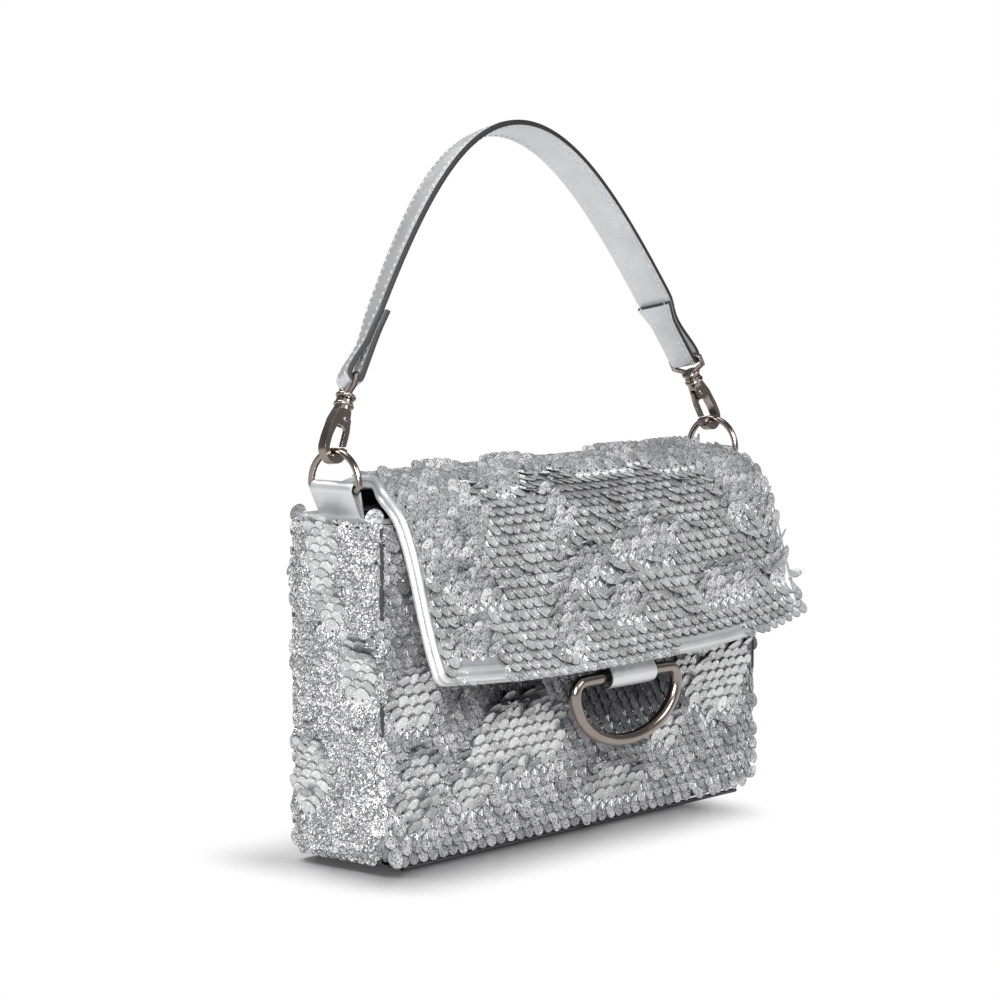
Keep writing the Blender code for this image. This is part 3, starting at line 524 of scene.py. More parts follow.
def sequin_tree():
    inputs = {"Sheet": "Geometry", "Disc": "Object", "Columns": "Int", "Rows": "Int", "Start row": "Int",
              "First row": "Float", "Hanging tilt": "Float", "Turned tilt": "Float", "Lift": "Float",
              "Roll": "Float", "Seed": "Int", "Finish": "Material"}
    tree, given, add = new_tree("sew_sequins", inputs)
    known = {name: given[name] for name in inputs}
    known["index"] = add("GeometryNodeInputIndex")
    chances = {"ahead": (0.2, 0.3), "below": (-0.07, 0.07), "luck": (0.0, 1.0), "stray": (0.1, 0.55),
               "vary": (0.9, 1.1), "swing": (-0.05, 0.05), "rock": (-0.025, 0.025), "shade": (0.0, 1.0)}
    for shift, (name, (low, high)) in enumerate(chances.items()):
        seed = add(math_node, {0: given["Seed"], 1: shift}, operation="ADD")
        known[name] = add("FunctionNodeRandomValue", {2: low, 3: high, "Seed": seed}, 1, data_type="FLOAT")

    def work_out(*steps):
        """Each step names its result, a sum or a kind of node, and inputs: numbers or earlier results."""
        for name, kind, *values in steps:
            values = {n: known.get(value, value) for n, value in enumerate(values)}
            known[name] = add(kind, values) if "Node" in kind else add(math_node, values, operation=kind)

    work_out(("row", "MODULO", "index", "Rows"), ("part", "DIVIDE", "index", "Rows"),
             ("column", "FLOOR", "part"), ("odd", "MODULO", "row", 2.0),
             ("step", "MULTIPLY_ADD", "odd", 0.5, "ahead"), ("right", "ADD", "column", "step"),
             ("across", "DIVIDE", "right", "Columns"), ("first", "ADD", "First row", "below"),
             ("under", "ADD", "row", "first"), ("down", "DIVIDE", "under", "Rows"),
             ("place", "ShaderNodeCombineXYZ", "across", "down"))
    vector = {"data_type": "FLOAT_VECTOR"}
    fields = {"spot": add("GeometryNodeInputPosition"), "normal": add("GeometryNodeInputNormal")}
    for name in ("fall", "lay", "sheet"):
        fields[name] = add("GeometryNodeInputNamedAttribute", {"Name": name}, **vector)
    for name in ("spot", "normal", "fall", "lay"):
        known[name] = add("GeometryNodeSampleUVSurface",
                          {"Mesh": given["Sheet"], "Value": fields[name],
                           "Source UV Map": fields["sheet"], "Sample UV": known["place"]}, **vector)
    lay = add("ShaderNodeSeparateXYZ", {0: known["lay"]}, None)
    known["sway"], known["lean"] = lay[1], lay[2]
    known["over"] = add(range_node, {0: lay[0], 1: 0.35, 2: 0.65}, **eased)
    known["length"] = add(vector_node, {0: known["fall"]}, "Value", operation="LENGTH")
    work_out(("rare", "GREATER_THAN", "luck", 0.95), ("loose", "MULTIPLY", "rare", "stray"),
             ("hang", "MULTIPLY_ADD", "Hanging tilt", "vary", "loose"),
             ("up", "MULTIPLY_ADD", "Turned tilt", "vary", "loose"), ("out", "ADD", "up", "lean"),
             ("rest", "SUBTRACT", pi, "out"), ("reach", "SUBTRACT", "rest", "hang"),
             ("flip", "MULTIPLY_ADD", "over", "reach", "hang"), ("turn", "ADD", "sway", "swing"),
             ("flat", "MULTIPLY_ADD", "over", -0.75, 1.0), ("tip", "MULTIPLY_ADD", "Roll", "flat", "rock"),
             ("high", "MULTIPLY_ADD", "rare", 0.6 * mm, "Lift"), ("next", "ADD", "row", 0.5),
             ("begun", "GREATER_THAN", "next", "Start row"),
             ("begun length", "MULTIPLY", "length", "begun"),
             # Painted shade: where the fall is longer than 1, the tone drops below zero and the stitch is
             # dropped.
             ("past", "SUBTRACT", "begun length", 1.0), ("dull", "MAXIMUM", "past", 0.0),
             ("tone", "MULTIPLY_ADD", "dull", -1.6, "shade"), ("worn", "MULTIPLY", "dull", "Start row"),
             ("kept", "MULTIPLY_ADD", "worn", -9.0, "begun length"),
             ("angles", "ShaderNodeCombineXYZ", "flip", "tip", "turn"),
             ("spin", "FunctionNodeEulerToRotation", "angles"))

    grid = add("GeometryNodeMeshGrid", {"Size X": 1.0, "Size Y": 1.0, "Vertices X": given["Columns"],
                                        "Vertices Y": given["Rows"]}, "Mesh")
    raised = add(vector_node, {0: known["normal"], 1: known["high"], 2: known["spot"]},
                 operation="MULTIPLY_ADD")
    points = add("GeometryNodeSetPosition", {"Geometry": grid, "Position": raised})
    here = add("FunctionNodeCompare", {0: known["kept"], 1: 0.5}, operation="GREATER_THAN")
    turned = add("FunctionNodeAxesToRotation", {0: known["normal"], 1: known["fall"]},
                 primary_axis="Z", secondary_axis="Y")
    turned = add("FunctionNodeRotateRotation", {0: turned, 1: known["spin"]}, rotation_space="LOCAL")
    disc = add("GeometryNodeObjectInfo", {"Object": given["Disc"]}, "Geometry")
    sewn = add("GeometryNodeInstanceOnPoints",
               {"Points": points, "Selection": here, "Instance": disc, "Rotation": turned})
    sewn = add("GeometryNodeStoreNamedAttribute",
               {"Geometry": sewn, "Name": "tone", "Value": known["tone"]},
               data_type="FLOAT", domain="INSTANCE")
    finish_tree(add, sewn, given["Finish"])
    return tree


sew_tree = sequin_tree()
print("sewing tree with", len(sew_tree.nodes), "nodes")

# %% Sew a sheet
column_gap, row_gap, cloth_thickness = 5.4 * mm, 3.7 * mm, 0.8 * mm
sequin_lift, sequin_roll, lean_reach, lean_most = 0.7 * mm, -0.1, 5 * mm, 0.5
smooth_tilt, scale_tilt, turned_tilt, ruffled_tilt = radians(7), radians(13), radians(16), radians(22)
bare = (0, 0, 0)


def laid(across, along, patches, seed, up, sway):
    """How sequins lie at a place: turned over, sway, and a lean where unturned ones hang from above."""
    over = brushed(across, along, patches, seed)
    above = brushed(across, along + up * lean_reach, patches, seed)
    return over, sway, lean_most * max(over - above, 0.0)


def run_tree(tree, name, mesh, body, values):
    """The piece that a tree makes from a mesh, with the tree's named inputs set."""
    made = link_new(name, mesh)
    step = made.modifiers.new("sew", "NODES")
    step.node_group = tree
    for item in tree.interface.items_tree:
        if item.name in values:
            step[item.identifier] = values[item.name]
    plain_mesh(made, "up")
    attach(made, body)
    return made


def sewn_cloth(name, node, body, spot, columns, rows, outward, size, seed, disc, tilts, first=0.35):
    """A sheet with its sequins in place of a solid. spot gives point, fall and lay from across and row."""
    spots = [[spot(i / (columns - 1), row) for row in rows] for i in range(columns)]
    points, falls, lays = [[[place[k] for place in line] for line in spots] for k in range(3)]
    sheet = grid_mesh(name, points, outward)
    note(sheet, "fall", sum(falls, []))
    note(sheet, "lay", sum(lays, []))
    made = piece(name, sheet, [net_material], body, "sequin_cloth", node)
    values = {"Columns": round(size[0] / column_gap), "Rows": round(size[1] / row_gap), "First row": first,
              "Hanging tilt": tilts[0], "Turned tilt": tilts[1], "Lift": sequin_lift, "Roll": sequin_roll,
              "Seed": seed}
    for kind, thing, start, finish in (("sequins", disc, 0, sequin_material),
                                       ("stitches", stitch, 1, thread_material)):
        values.update({"Disc": thing, "Start row": start, "Finish": finish})
        sewn = run_tree(sew_tree, name + "_" + kind, sheet.copy(), body, values)
        print(name, "has", len(sewn.data.polygons) // len(thing.data.polygons), kind)
    return thicken(made, cloth_thickness, "fall", "lay")


print("a sequin every", round(column_gap / mm, 1), "mm across and every", round(row_gap / mm, 1), "mm down")

# %% [markdown]
# ## Front and back panels
# The body is a soft box: two panels with round lower corners, sewn to one long strip. The panels could
# be flat plates, but a real one is pushed out by its filling and pulled in at the seams. The patches,
# read off as ovals, are where the sequins lie the other way up than on the rest of the panel. Two more
# ovals, under the flap's lip, get painted shade: their sequins are drawn darker, as in the lip's shadow.

# %% Panels
panel_low, panel_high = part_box("front_panel")
half_width, body_top, half_depth = panel_high.x, panel_high.z, -panel_low.y
corner_radius, cloth_sink, cloth_drop, panel_foot = 12 * mm, 1.4 * mm, 1.0 * mm, 4.6 * mm
panel_columns, panel_rows, panel_first = 92, 54, 0.44
panel_swell, panel_wave, panel_wave_size = 0.9 * mm, 0.5 * mm, 34 * mm
panel_inset, panel_roll, panel_roll_width = 1.2 * mm, 2.2 * mm, 2.6 * mm
panel_sway, panel_sway_size, neat_from, neat_over = 0.15, 26 * mm, 20 * mm, 25 * mm
hanging_foot, turned_foot, seam_margin, slit_margin = 5.6 * mm, 1.6 * mm, 1.4 * mm, 3.4 * mm
open_seams = ((51, 60), (92, 121))
front_turned = [(-38, 40, 26, 16), (-62, 27, 12, 12), (20, 16, 20, 8), (80, 55, 24, 18), (50, 33, 10, 8),
                (84, 38, 12, 6), (-90, 28, 11, 17), (-93, 61, 12, 12)]
# Painted shade: ovals under the flap's lip where the front's sequins are drawn darker.
front_painted_shade = [(25, 64, 42, 22), (-40, 74, 18, 11)]
back_turned = [(-78, 84, 26, 13), (-50, 68, 16, 8), (-58, 98, 20, 7), (12, 44, 30, 9), (-14, 31, 18, 7),
               (36, 57, 14, 6), (74, 94, 20, 15), (90, 68, 12, 10), (56, 26, 20, 8), (80, 39, 10, 8),
               (-86, 30, 12, 15), (-64, 17, 16, 6), (18, 100, 20, 6), (-20, 78, 9, 12)]


def corner_half(z):
    """Half the panel's width at a height, with the round lower corners."""
    lost = max(corner_radius - z, 0.0)
    return half_width - corner_radius + sqrt(max(corner_radius ** 2 - lost ** 2, 0.0))


def slit(z):
    """Where the front corner seams stand open."""
    return any(low * mm < z < high * mm for low, high in open_seams)


def body_panel(name, node, way, patches, painted_shade, seed):
    def spot(across, z):
        x = (2 * across - 1) * (corner_half(z) - panel_inset)
        edge = corner_half(z) - abs(x)
        swell = (1 - (x / half_width) ** 4) * (1 - (2 * z / body_top - 1) ** 4)
        out = half_depth - cloth_sink + panel_swell * swell + panel_wave * wave(x, z, panel_wave_size, seed)
        out -= panel_roll * exp(-min(edge, z) / panel_roll_width)
        neat = smooth((z - neat_from) / neat_over)
        lay = laid(x, z, patches, seed, 1, panel_sway * neat * wave(x, z, panel_sway_size, seed + 7))
        lowest = mix(hanging_foot, turned_foot, smooth(2 * lay[0] - 1))
        margin = slit_margin if slit(z) and way < 0 else seam_margin
        # Painted shade: inside those ovals the fall grows past 1, which darkens the discs and drops their
        # stitches.
        dull = max((smooth(1.2 - away_from(patch, x, z)) for patch in painted_shade), default=0.0)
        fall = bare if edge < margin or z < lowest else (0, 0, -1 - dull)
        return Vector((x, way * out, z)), fall, lay

    rows = [mix(body_top - cloth_drop, panel_foot, j / (panel_rows - 1)) for j in range(panel_rows)]
    size = (2 * half_width, body_top - panel_foot)
    return sewn_cloth(name, node, "body", spot, panel_columns, rows, (0, way, 0), size, seed, body_sequin,
                      (smooth_tilt, turned_tilt), panel_first)


body_panel("front_cloth", "front_panel", -1, front_turned, front_painted_shade, 3)
body_panel("back_cloth", "back_panel", 1, back_turned, [], 5)

# %% [markdown]
# ## Side and base strip
# One strip runs down the left side, under the base and up the right side. Only its sides carry
# sequins: under the base they would be crushed, so the cloth stays bare there.

# %% Side and base strip
side_steps, corner_steps, base_steps, strip_columns = 46, 8, 20, 20
strip_inset, base_inset, base_sink, inset_rise, sink_rise = 1.4 * mm, 7 * mm, 0.8 * mm, 9 * mm, 10 * mm
strip_roll, strip_roll_width, strip_wave, strip_wave_size = 1.6 * mm, 2.4 * mm, 0.5 * mm, 22 * mm
strip_sway, strip_sway_size, strip_hanging_foot, strip_turned_foot = 0.12, 24 * mm, 6 * mm, 2.2 * mm
strip_margin, strip_slit_margin = 2.4 * mm, 3.8 * mm
side_turned = [(6, 112, 6, 14), (2, 92, 7, 8), (-12, 72, 9, 12), (13, 33, 11, 14)]


def strip_path():
    """Points and outward directions from the left top, under the base, to the right top."""
    inner = half_width - corner_radius
    steps = [(-half_width, mix(body_top - cloth_drop, corner_radius, k / side_steps), (-1, 0))
             for k in range(side_steps)]
    for turn in (pi / 2 * k / corner_steps for k in range(corner_steps + 1)):
        steps.append((-inner - corner_radius * cos(turn), corner_radius * (1 - sin(turn)),
                      (-cos(turn), -sin(turn))))
    steps += [(mix(-inner, 0, k / base_steps), 0.0, (0, -1)) for k in range(1, base_steps + 1)]
    return steps + [(-x, z, (-out[0], out[1])) for x, z, out in steps[-2::-1]]


def strip_spot(across, station):
    x, z, out = station
    y = (2 * across - 1) * (half_depth - mix(base_inset, strip_inset, smooth(z / inset_rise)))
    edge = half_depth - abs(y)
    sink = cloth_sink + strip_roll * exp(-edge / strip_roll_width)
    sink -= strip_wave * wave(y, z, strip_wave_size, x)
    sink = mix(base_sink, sink, smooth(z / sink_rise))
    sway = strip_sway * wave(y, z, strip_sway_size, 4.0 + x)
    lay = laid(y, z, side_turned, 2.0 if x < 0 else 9.0, 1, sway)
    lowest = mix(strip_hanging_foot, strip_turned_foot, smooth(2 * lay[0] - 1))
    margin = strip_slit_margin if slit(z) and y < 0 else strip_margin
    fall = bare if edge < margin or z < lowest else (0, 0, -1)
    return Vector((x - sink * out[0], y, z - sink * out[1])), fall, lay


strip_length = 2 * (body_top - corner_radius) + pi * corner_radius + 2 * (half_width - corner_radius)
sewn_cloth("side_cloth", "gusset_strip", "body", strip_spot, strip_columns, strip_path(), (0, 0, -1),
           (2 * half_depth, strip_length), 11, body_sequin, (smooth_tilt, turned_tilt))

# %% [markdown]
# ## Seam shade cords
# Panels and strip meet in a groove that lies in shade and shows as a broken dark line between the
# sequins. A thin dark cord where the groove stands open is painted shade for that groove, and two more
# dark cords along the base are painted shadow under the last row. Two sequins have come loose at the
# top of the left side and stand up: they are copies of the one disc.

# %% Seam shade cords and loose sequins
groove_inset, corner_cord, past_slit = 1.7 * mm, 0.75 * mm, 1.5
base_cord, base_cord_inset, base_cord_height = 0.9 * mm, 2.0 * mm, 1.0 * mm
loose_places = ((-107.6, -17.5, 124.4, -60, -8), (-108.2, 19.5, 124.0, -10, 12))


# Painted shade: dark cords in the open front seam grooves, and painted shadow along the base.
def corner_seams():
    x, y = half_width - groove_inset, half_depth - groove_inset
    lines = [((side * x, -y, (low - past_slit) * mm), (side * x, -y, (high + past_slit) * mm), corner_cord)
             for low, high in open_seams for side in (-1, 1)]
    x, y, z = half_width - corner_radius, half_depth - base_cord_inset, base_cord_height
    lines += [((-x, side * y, z), (x, side * y, z), base_cord) for side in (-1, 1)]
    shape = bmesh.new()
    for start, end, radius in lines:
        start, way = Vector(start), Vector(end) - Vector(start)
        place = Matrix.Translation(start + way / 2) @ way.to_track_quat("Z", "Y").to_matrix().to_4x4()
        bmesh.ops.create_cone(shape, cap_ends=True, segments=8, radius1=radius, radius2=radius,
                              depth=way.length, matrix=place)
    mesh = mesh_from("corner_seams", shape)
    return piece("corner_seams", mesh, [shade_cord_material], "body", "sequin_cloth")


def loose_sequins():
    shape = bmesh.new()
    for x, y, z, turn, lean in loose_places:
        start = len(shape.verts)
        shape.from_mesh(body_sequin.data)
        shape.verts.ensure_lookup_table()
        face_out = Matrix.Rotation(radians(turn), 4, "Z") @ Matrix.Rotation(radians(90 + lean), 4, "X")
        place = Matrix.Translation(Vector((x, y, z)) * mm) @ face_out
        bmesh.ops.transform(shape, matrix=place, verts=shape.verts[start:])
    mesh = mesh_from("loose_sequins", shape)
    return piece("loose_sequins", mesh, [sequin_material], "body", "sequin_cloth")


print(corner_seams().name, loose_sequins().name)

# %% [markdown]
# ## Flap
# The flap is cut in one with its curve: it leaves the hinge, crosses the mouth, turns over the shoulder
# and stands off the front. The curve is two Bezier arcs, the same as in the solid. Between shoulder and
# lip it flares a little, and the sequins are brushed in many directions, as hands leave them. Along the
# crown some clusters are ruffled and stand up more.

# %% Flap shape
hinge_slope, shoulder_slope, lip_slope = radians(27), radians(63), radians(60)
hinge_point, shoulder_point, lip_point = [Vector(p) * mm for p in ((15, 134.5), (-30, 124), (-48.5, 71.5))]
crown_way = Vector((-cos(hinge_slope), sin(hinge_slope)))
shoulder_way, lip_way = [Vector((-cos(slope), -sin(slope))) for slope in (shoulder_slope, lip_slope)]
hinge_gap, hinge_pull, shoulder_pull, lip_pull = 0.4 * mm, 18 * mm, 17 * mm, 16 * mm
hinge_start, arc_points = hinge_point + hinge_gap * crown_way, 25
crown_half, lip_half, flare_from, flare_over = 94.5 * mm, 106.5 * mm, 16 * mm, 24 * mm
binding_width, left_drawn, right_drawn, flap_wave_size = 4.5 * mm, 3.5 * mm, 7.0 * mm, 30 * mm


def left_of(way):
    """A plane direction turned a quarter to the left. On the flap, seen from its end, that is inward."""
    return Vector((-way.y, way.x))


def at_x(x, flat):
    """A (y, z) point or direction at a place across the bag."""
    return Vector((x, flat.x, flat.y))


def flap_line():
    """Points, distance from the hinge, forward and inward directions along the flap, in (y, z)."""
    over = interpolate_bezier(hinge_start, hinge_start + hinge_pull * crown_way,
                              shoulder_point - shoulder_pull * shoulder_way, shoulder_point, arc_points)
    down = interpolate_bezier(shoulder_point, shoulder_point + shoulder_pull * shoulder_way,
                              lip_point - lip_pull * lip_way, lip_point, arc_points)
    points = [Vector(p[:2]) for p in over + down[1:]]
    frames, travelled = [], 0.0
    for k, point in enumerate(points):
        way = heading(points, k)
        travelled += (point - points[k - 1]).length if k else 0.0
        frames.append((point, travelled, way, left_of(way)))
    return frames


flap_frames = flap_line()
flap_runs = [travelled for _, travelled, _, _ in flap_frames]
flap_length = flap_runs[-1]


def flap_half(travelled):
    """Half the cloth's width inside the binding. It flares past the crown."""
    return mix(crown_half, lip_half, smooth((travelled - flare_from) / flare_over)) - binding_width


def flap_at(x, travelled):
    """Point, forward and inward directions of the flap at a place, with its corners drawn up a little."""
    drawn = (left_drawn if x < 0 else right_drawn) * abs(x / flap_half(flap_length)) ** 3
    travelled -= drawn * (travelled / flap_length) ** 2
    for first, second in zip(flap_frames, flap_frames[1:]):
        if second[1] >= travelled:
            break
    part = (travelled - first[1]) / (second[1] - first[1])
    return [first[k].lerp(second[k], part) for k in (0, 2, 3)]


def flap_spot(across, travelled, depth, rise=0.0, past_right=0.0):
    """Place across, point at a depth under the waving outer face, and forward direction."""
    half = flap_half(travelled)
    x = mix(-half, half + past_right * (0.3 + 0.7 * travelled / flap_length), across)
    point, way, inward = flap_at(x, travelled)
    return x, at_x(x, point + (depth - rise * wave(x, travelled, flap_wave_size, 21.0)) * inward), way


print("flap runs", round(flap_length / mm, 1), "mm from hinge to lip")

# %% Flap cloth
past_lip, past_right, flap_columns, flap_first = 2.6 * mm, 6.0 * mm, 88, 0.7
cloth_depth, flap_wave, first_bare, edge_from, edge_over = 1.2 * mm, 0.5 * mm, 2 * mm, 7 * mm, 9 * mm
flap_sway, edge_sway, ruffle_lean = 0.15, 0.5, 0.8
flap_brushed = [(-88, 50, 24, 26), (-80, 22, 26, 14), (-10, 14, 18, 7), (-24, 55, 6, 11), (-16, 72, 15, 7),
                (-32, 90, 10, 16), (22, 66, 20, 9), (2, 88, 10, 9), (56, 27, 19, 12), (-76, 76, 12, 9),
                (-84, 96, 12, 9), (14, 28, 25, 8), (104, 45, 16, 30), (82, 50, 10, 14), (66, 88, 20, 9),
                (100, 85, 8, 12), (0, 8, 130, 23), (88, 24, 30, 24), (-45, 29, 16, 12)]
flap_bare = [(47, 106, 22, 4.5), (-83, 106, 13, 4.0)]
flap_ruffled = [(-60, 20, 7, 8), (-22, 20, 9, 9), (46, 18, 14, 9), (82, 16, 14, 10)]


def flap_cloth_spot(across, travelled):
    x, point, way = flap_spot(across, travelled, cloth_depth, flap_wave, past_right)
    outward = smooth((x - flap_half(travelled) + edge_from) / edge_over)
    sway = flap_sway * wave(x, travelled, flap_wave_size, 37.0) + edge_sway * outward
    over, sway, lean = laid(x, travelled, flap_brushed, 31.0, -1, sway)
    lean += ruffle_lean * brushed(x, travelled, flap_ruffled, 52.0)
    hem = brushed(x, travelled, flap_bare, 40.0)
    fall = bare if hem > 0.5 or travelled < first_bare else at_x(0, way)
    return point, fall, (over, sway, lean)


sewn_cloth("flap_cloth_sheet", "flap_cloth", "flap", flap_cloth_spot, flap_columns,
           flap_runs + [flap_length + past_lip], (0, -1, 0.5),
           (2 * flap_half(flap_length) + past_right, flap_length + past_lip), 23, flap_sequin,
           (scale_tilt, ruffled_tilt), flap_first)

# %% [markdown]
# ## Foil leather, edge paint and lining
# The strap, tabs and bindings are leather with a silver foil pressed on. Foil is metal, so it shines,
# but the hide under it gives a fine pebbled grain and soft broad reflections. Cut edges are sealed with
# black paint, which dries dull and a little rippled. The lining is a black twill, and its slanting ribs
# take the shine off it.

# %% Leather, paint and lining
# A Wave texture of scale 1 has a line every 0.314.
grain_size, twill_size, wave_lines = 0.55 * mm, 0.6 * mm, 0.314
foil_cloud_size, paint_cloud_size = 9 * mm, 1.2 * mm


def foil_leather():
    material, shader, add, place, cloud = clouded("silver_foil_leather", "#b9bbbd", "#d3d5d7",
                                                  foil_cloud_size, 3.0, Metallic=0.72)
    worn = add(range_node, {0: cloud, 3: 0.30, 4: 0.46})
    pebble = add("ShaderNodeTexVoronoi", {"Vector": place, "Scale": 1 / grain_size}, "Distance",
                 feature="DISTANCE_TO_EDGE")
    low = add(bump_node, {"Height": cloud, "Strength": 0.25, "Distance": 0.6 * mm})
    grain = add(bump_node, {"Height": pebble, "Strength": 0.22, "Distance": 0.12 * mm, "Normal": low})
    fill(shader, {"Roughness": worn, "Normal": grain})
    return material


def edge_paint():
    material, shader, add, _, uneven = clouded("black_edge_paint", "#0a0b0c", "#191a1d",
                                               paint_cloud_size, Roughness=0.55)
    ripple = add(bump_node, {"Height": uneven, "Strength": 0.3, "Distance": 0.2 * mm})
    fill(shader, {"Normal": ripple})
    return material


def twill_lining():
    material, shader, add = new_material("black_cotton_twill", Roughness=0.85)
    place = add(place_node, output="Object")
    turned = add("ShaderNodeMapping", {"Vector": place, "Rotation": (radians(35), 0.0, radians(45))})
    ribs = add("ShaderNodeTexWave", {"Vector": turned, "Scale": wave_lines / twill_size,
                                     "Distortion": 1.0}, 1)
    colour = add(mix_node, {0: ribs, 6: paint("#060607"), 7: paint("#19191b")}, 2, **blend)
    rib = add(bump_node, {"Height": ribs, "Strength": 0.4, "Distance": 0.15 * mm})
    fill(shader, {"Base Color": colour, "Normal": rib})
    return material


leather_material, paint_material, lining_material = foil_leather(), edge_paint(), twill_lining()
print(leather_material.name, paint_material.name, lining_material.name)

# %% [markdown]
# ## Sweeping a cross-section
# Strap, tabs and bindings are all one cross-section carried along a line. A curve with a bevel could do
# it, but a strap twists and narrows as it goes, so each ring of points is worked out and the rings are
# skinned. Each strip of the ring has its own material number, which paints the cut edges black.

# %% Sweep tools
edge_step, edge_bulge = 0.14 * mm, 0.3 * mm


def sweep(name, rings, zones, loop=False, open_top=False):
    """A body through rings of points. zones gives a material number for each strip."""
    count, total = len(rings[0]), len(rings)
    faces, numbers = [], []
    for k in range(total if loop else total - 1):
        first, second = k * count, (k + 1) % total * count
        for n in range(count):
            m = (n + 1) % count
            faces.append((first + n, first + m, second + m, second + n))
            numbers.append(zones[n])
    for k in () if loop else (total - 1,) if open_top else (0, total - 1):
        faces.append(tuple(range(k * count, (k + 1) * count)))
        numbers.append(max(zones))
    mesh = bpy.data.meshes.new(name)
    mesh.from_pydata([tuple(p) for ring in rings for p in ring], [], faces)
    mesh.polygons.foreach_set("material_index", numbers)
    shape = bmesh.new()
    shape.from_mesh(mesh)
    bmesh.ops.recalc_face_normals(shape, faces=shape.faces)
    for edge in shape.edges:
        edge.smooth = len({face.material_index for face in edge.link_faces}) == 1
    for face in shape.faces:
        face.smooth = len(face.verts) == 4
    shape.to_mesh(mesh)
    shape.free()
    return mesh


def band_ring(centre, wide, face, half, thickness, crown):
    """One ring of a flat leather band: a crowned face, a round edge, the back face and an edge again."""
    ring = []
    for side in (1, -1):
        for w in (-1.0, -0.82, -0.45, 0.0, 0.45, 0.82, 1.0):
            rise = thickness / 2 + crown * (1 - w * w) - (edge_step if abs(w) == 1 else 0)
            ring.append(centre + side * (wide * (half * w) + face * rise))
        ring.append(centre + side * wide * (half + edge_bulge))
    return ring


band_zones = [0] * 6 + [1, 1] + [0] * 6 + [1, 1]
print("a band ring has", len(band_zones), "strips")

# %% [markdown]
# ## Rows of stitches
# A seam is the same short thread again and again along a line. A Geometry Nodes tree cuts the line into
# equal steps and puts a stitch at each of them, lying along the line and facing the way that is stored
# on its points.

# %% Stitch tree
thread_radius, thread_length, thread_dip, stitch_step = 0.16 * mm, 2.3 * mm, 0.25 * mm, 3.1 * mm


def make_seam_tree():
    tree, given, add = new_tree("sew_seam", {"Line": "Geometry", "Thread": "Object", "Step": "Float",
                                             "Finish": "Material"})
    curve = add("GeometryNodeMeshToCurve", {0: given["Line"]})
    cut = add("GeometryNodeResampleCurve", {"Curve": curve, "Length": given["Step"]}, mode="LENGTH")
    along = add("GeometryNodeInputTangent")
    up = add("GeometryNodeInputNamedAttribute", {"Name": "up"}, data_type="FLOAT_VECTOR")
    turned = add("FunctionNodeAxesToRotation", {0: along, 1: up}, primary_axis="X", secondary_axis="Z")
    one = add("GeometryNodeObjectInfo", {"Object": given["Thread"]}, "Geometry")
    sewn = add("GeometryNodeInstanceOnPoints", {"Points": cut, "Instance": one, "Rotation": turned})
    finish_tree(add, sewn, given["Finish"])
    return tree


def make_thread():
    """One stitch along X: a short thread that dips at both ends."""
    shape = bmesh.new()
    bmesh.ops.create_cone(shape, cap_ends=True, segments=6, radius1=thread_radius, radius2=thread_radius,
                          depth=thread_length)
    long_edges = [e for e in shape.edges if abs(e.verts[0].co.z - e.verts[1].co.z) > 1 * mm]
    bmesh.ops.subdivide_edges(shape, edges=long_edges, cuts=2)
    for vert in shape.verts:
        x, y, z = vert.co
        thin, dip = (0.6, thread_dip) if abs(z) > 1 * mm else (1, 0)
        vert.co = (z, x * thin, y * thin - dip)
    bmesh.ops.recalc_face_normals(shape, faces=shape.faces)
    return link_new("thread", mesh_from("thread", shape))


thread, seam_tree = make_thread(), make_seam_tree()


def seam(name, lines, body):
    """Stitches along lines of (point, facing) pairs, as one piece."""
    corners, edges, ups = [], [], []
    for line in lines:
        edges += [(len(corners) + k, len(corners) + k + 1) for k in range(len(line) - 1)]
        corners += [tuple(point) for point, _ in line]
        ups += [up for _, up in line]
    mesh = bpy.data.meshes.new(name)
    mesh.from_pydata(corners, edges, [])
    note(mesh, "up", ups)
    values = {"Thread": thread, "Step": stitch_step, "Finish": seam_material}
    made = run_tree(seam_tree, name, mesh, body, values)
    made.data.shade_smooth()
    print(name, "has", len(made.data.polygons) // len(thread.data.polygons), "stitches")


print("seam tree with", len(seam_tree.nodes), "nodes")

# %% [markdown]
# ## Handle strap
# The strap arches from one clasp to the other, goes round the bar of each swivel eye and is sewn back
# on itself. It twists a little on its way. Its middle line is the same pair of Bezier arcs as in the
# solid, and one body stands for both plies, with a black painted edge all round.

# %% Strap line
handle_height, handle_lean = 136.8 * mm, radians(-7)
handle_frame = Matrix.Translation((0, 0, handle_height)) @ Matrix.Rotation(handle_lean, 4, "X")
strap_half, strap_end_half, strap_thickness = 7.5 * mm, 5.2 * mm, 2.3 * mm
fold_radius, fold_steps, strap_return, strap_merge = 2.45 * mm, 12, 27 * mm, 16 * mm
strap_tongue, strap_shoulder, seam_inset = 17 * mm, 12 * mm, 1.9 * mm
ply_gap, strap_crown = 0.12 * mm, 0.22 * mm
strap_start, strap_apex = Vector((-96.26, 0, 36.99)) * mm, Vector((0, 0, 127)) * mm
strap_slope, end_twist, apex_twist = radians(34), radians(-26), radians(-9)
end_pull, apex_pull, arch_points = 54 * mm, 38 * mm, 61


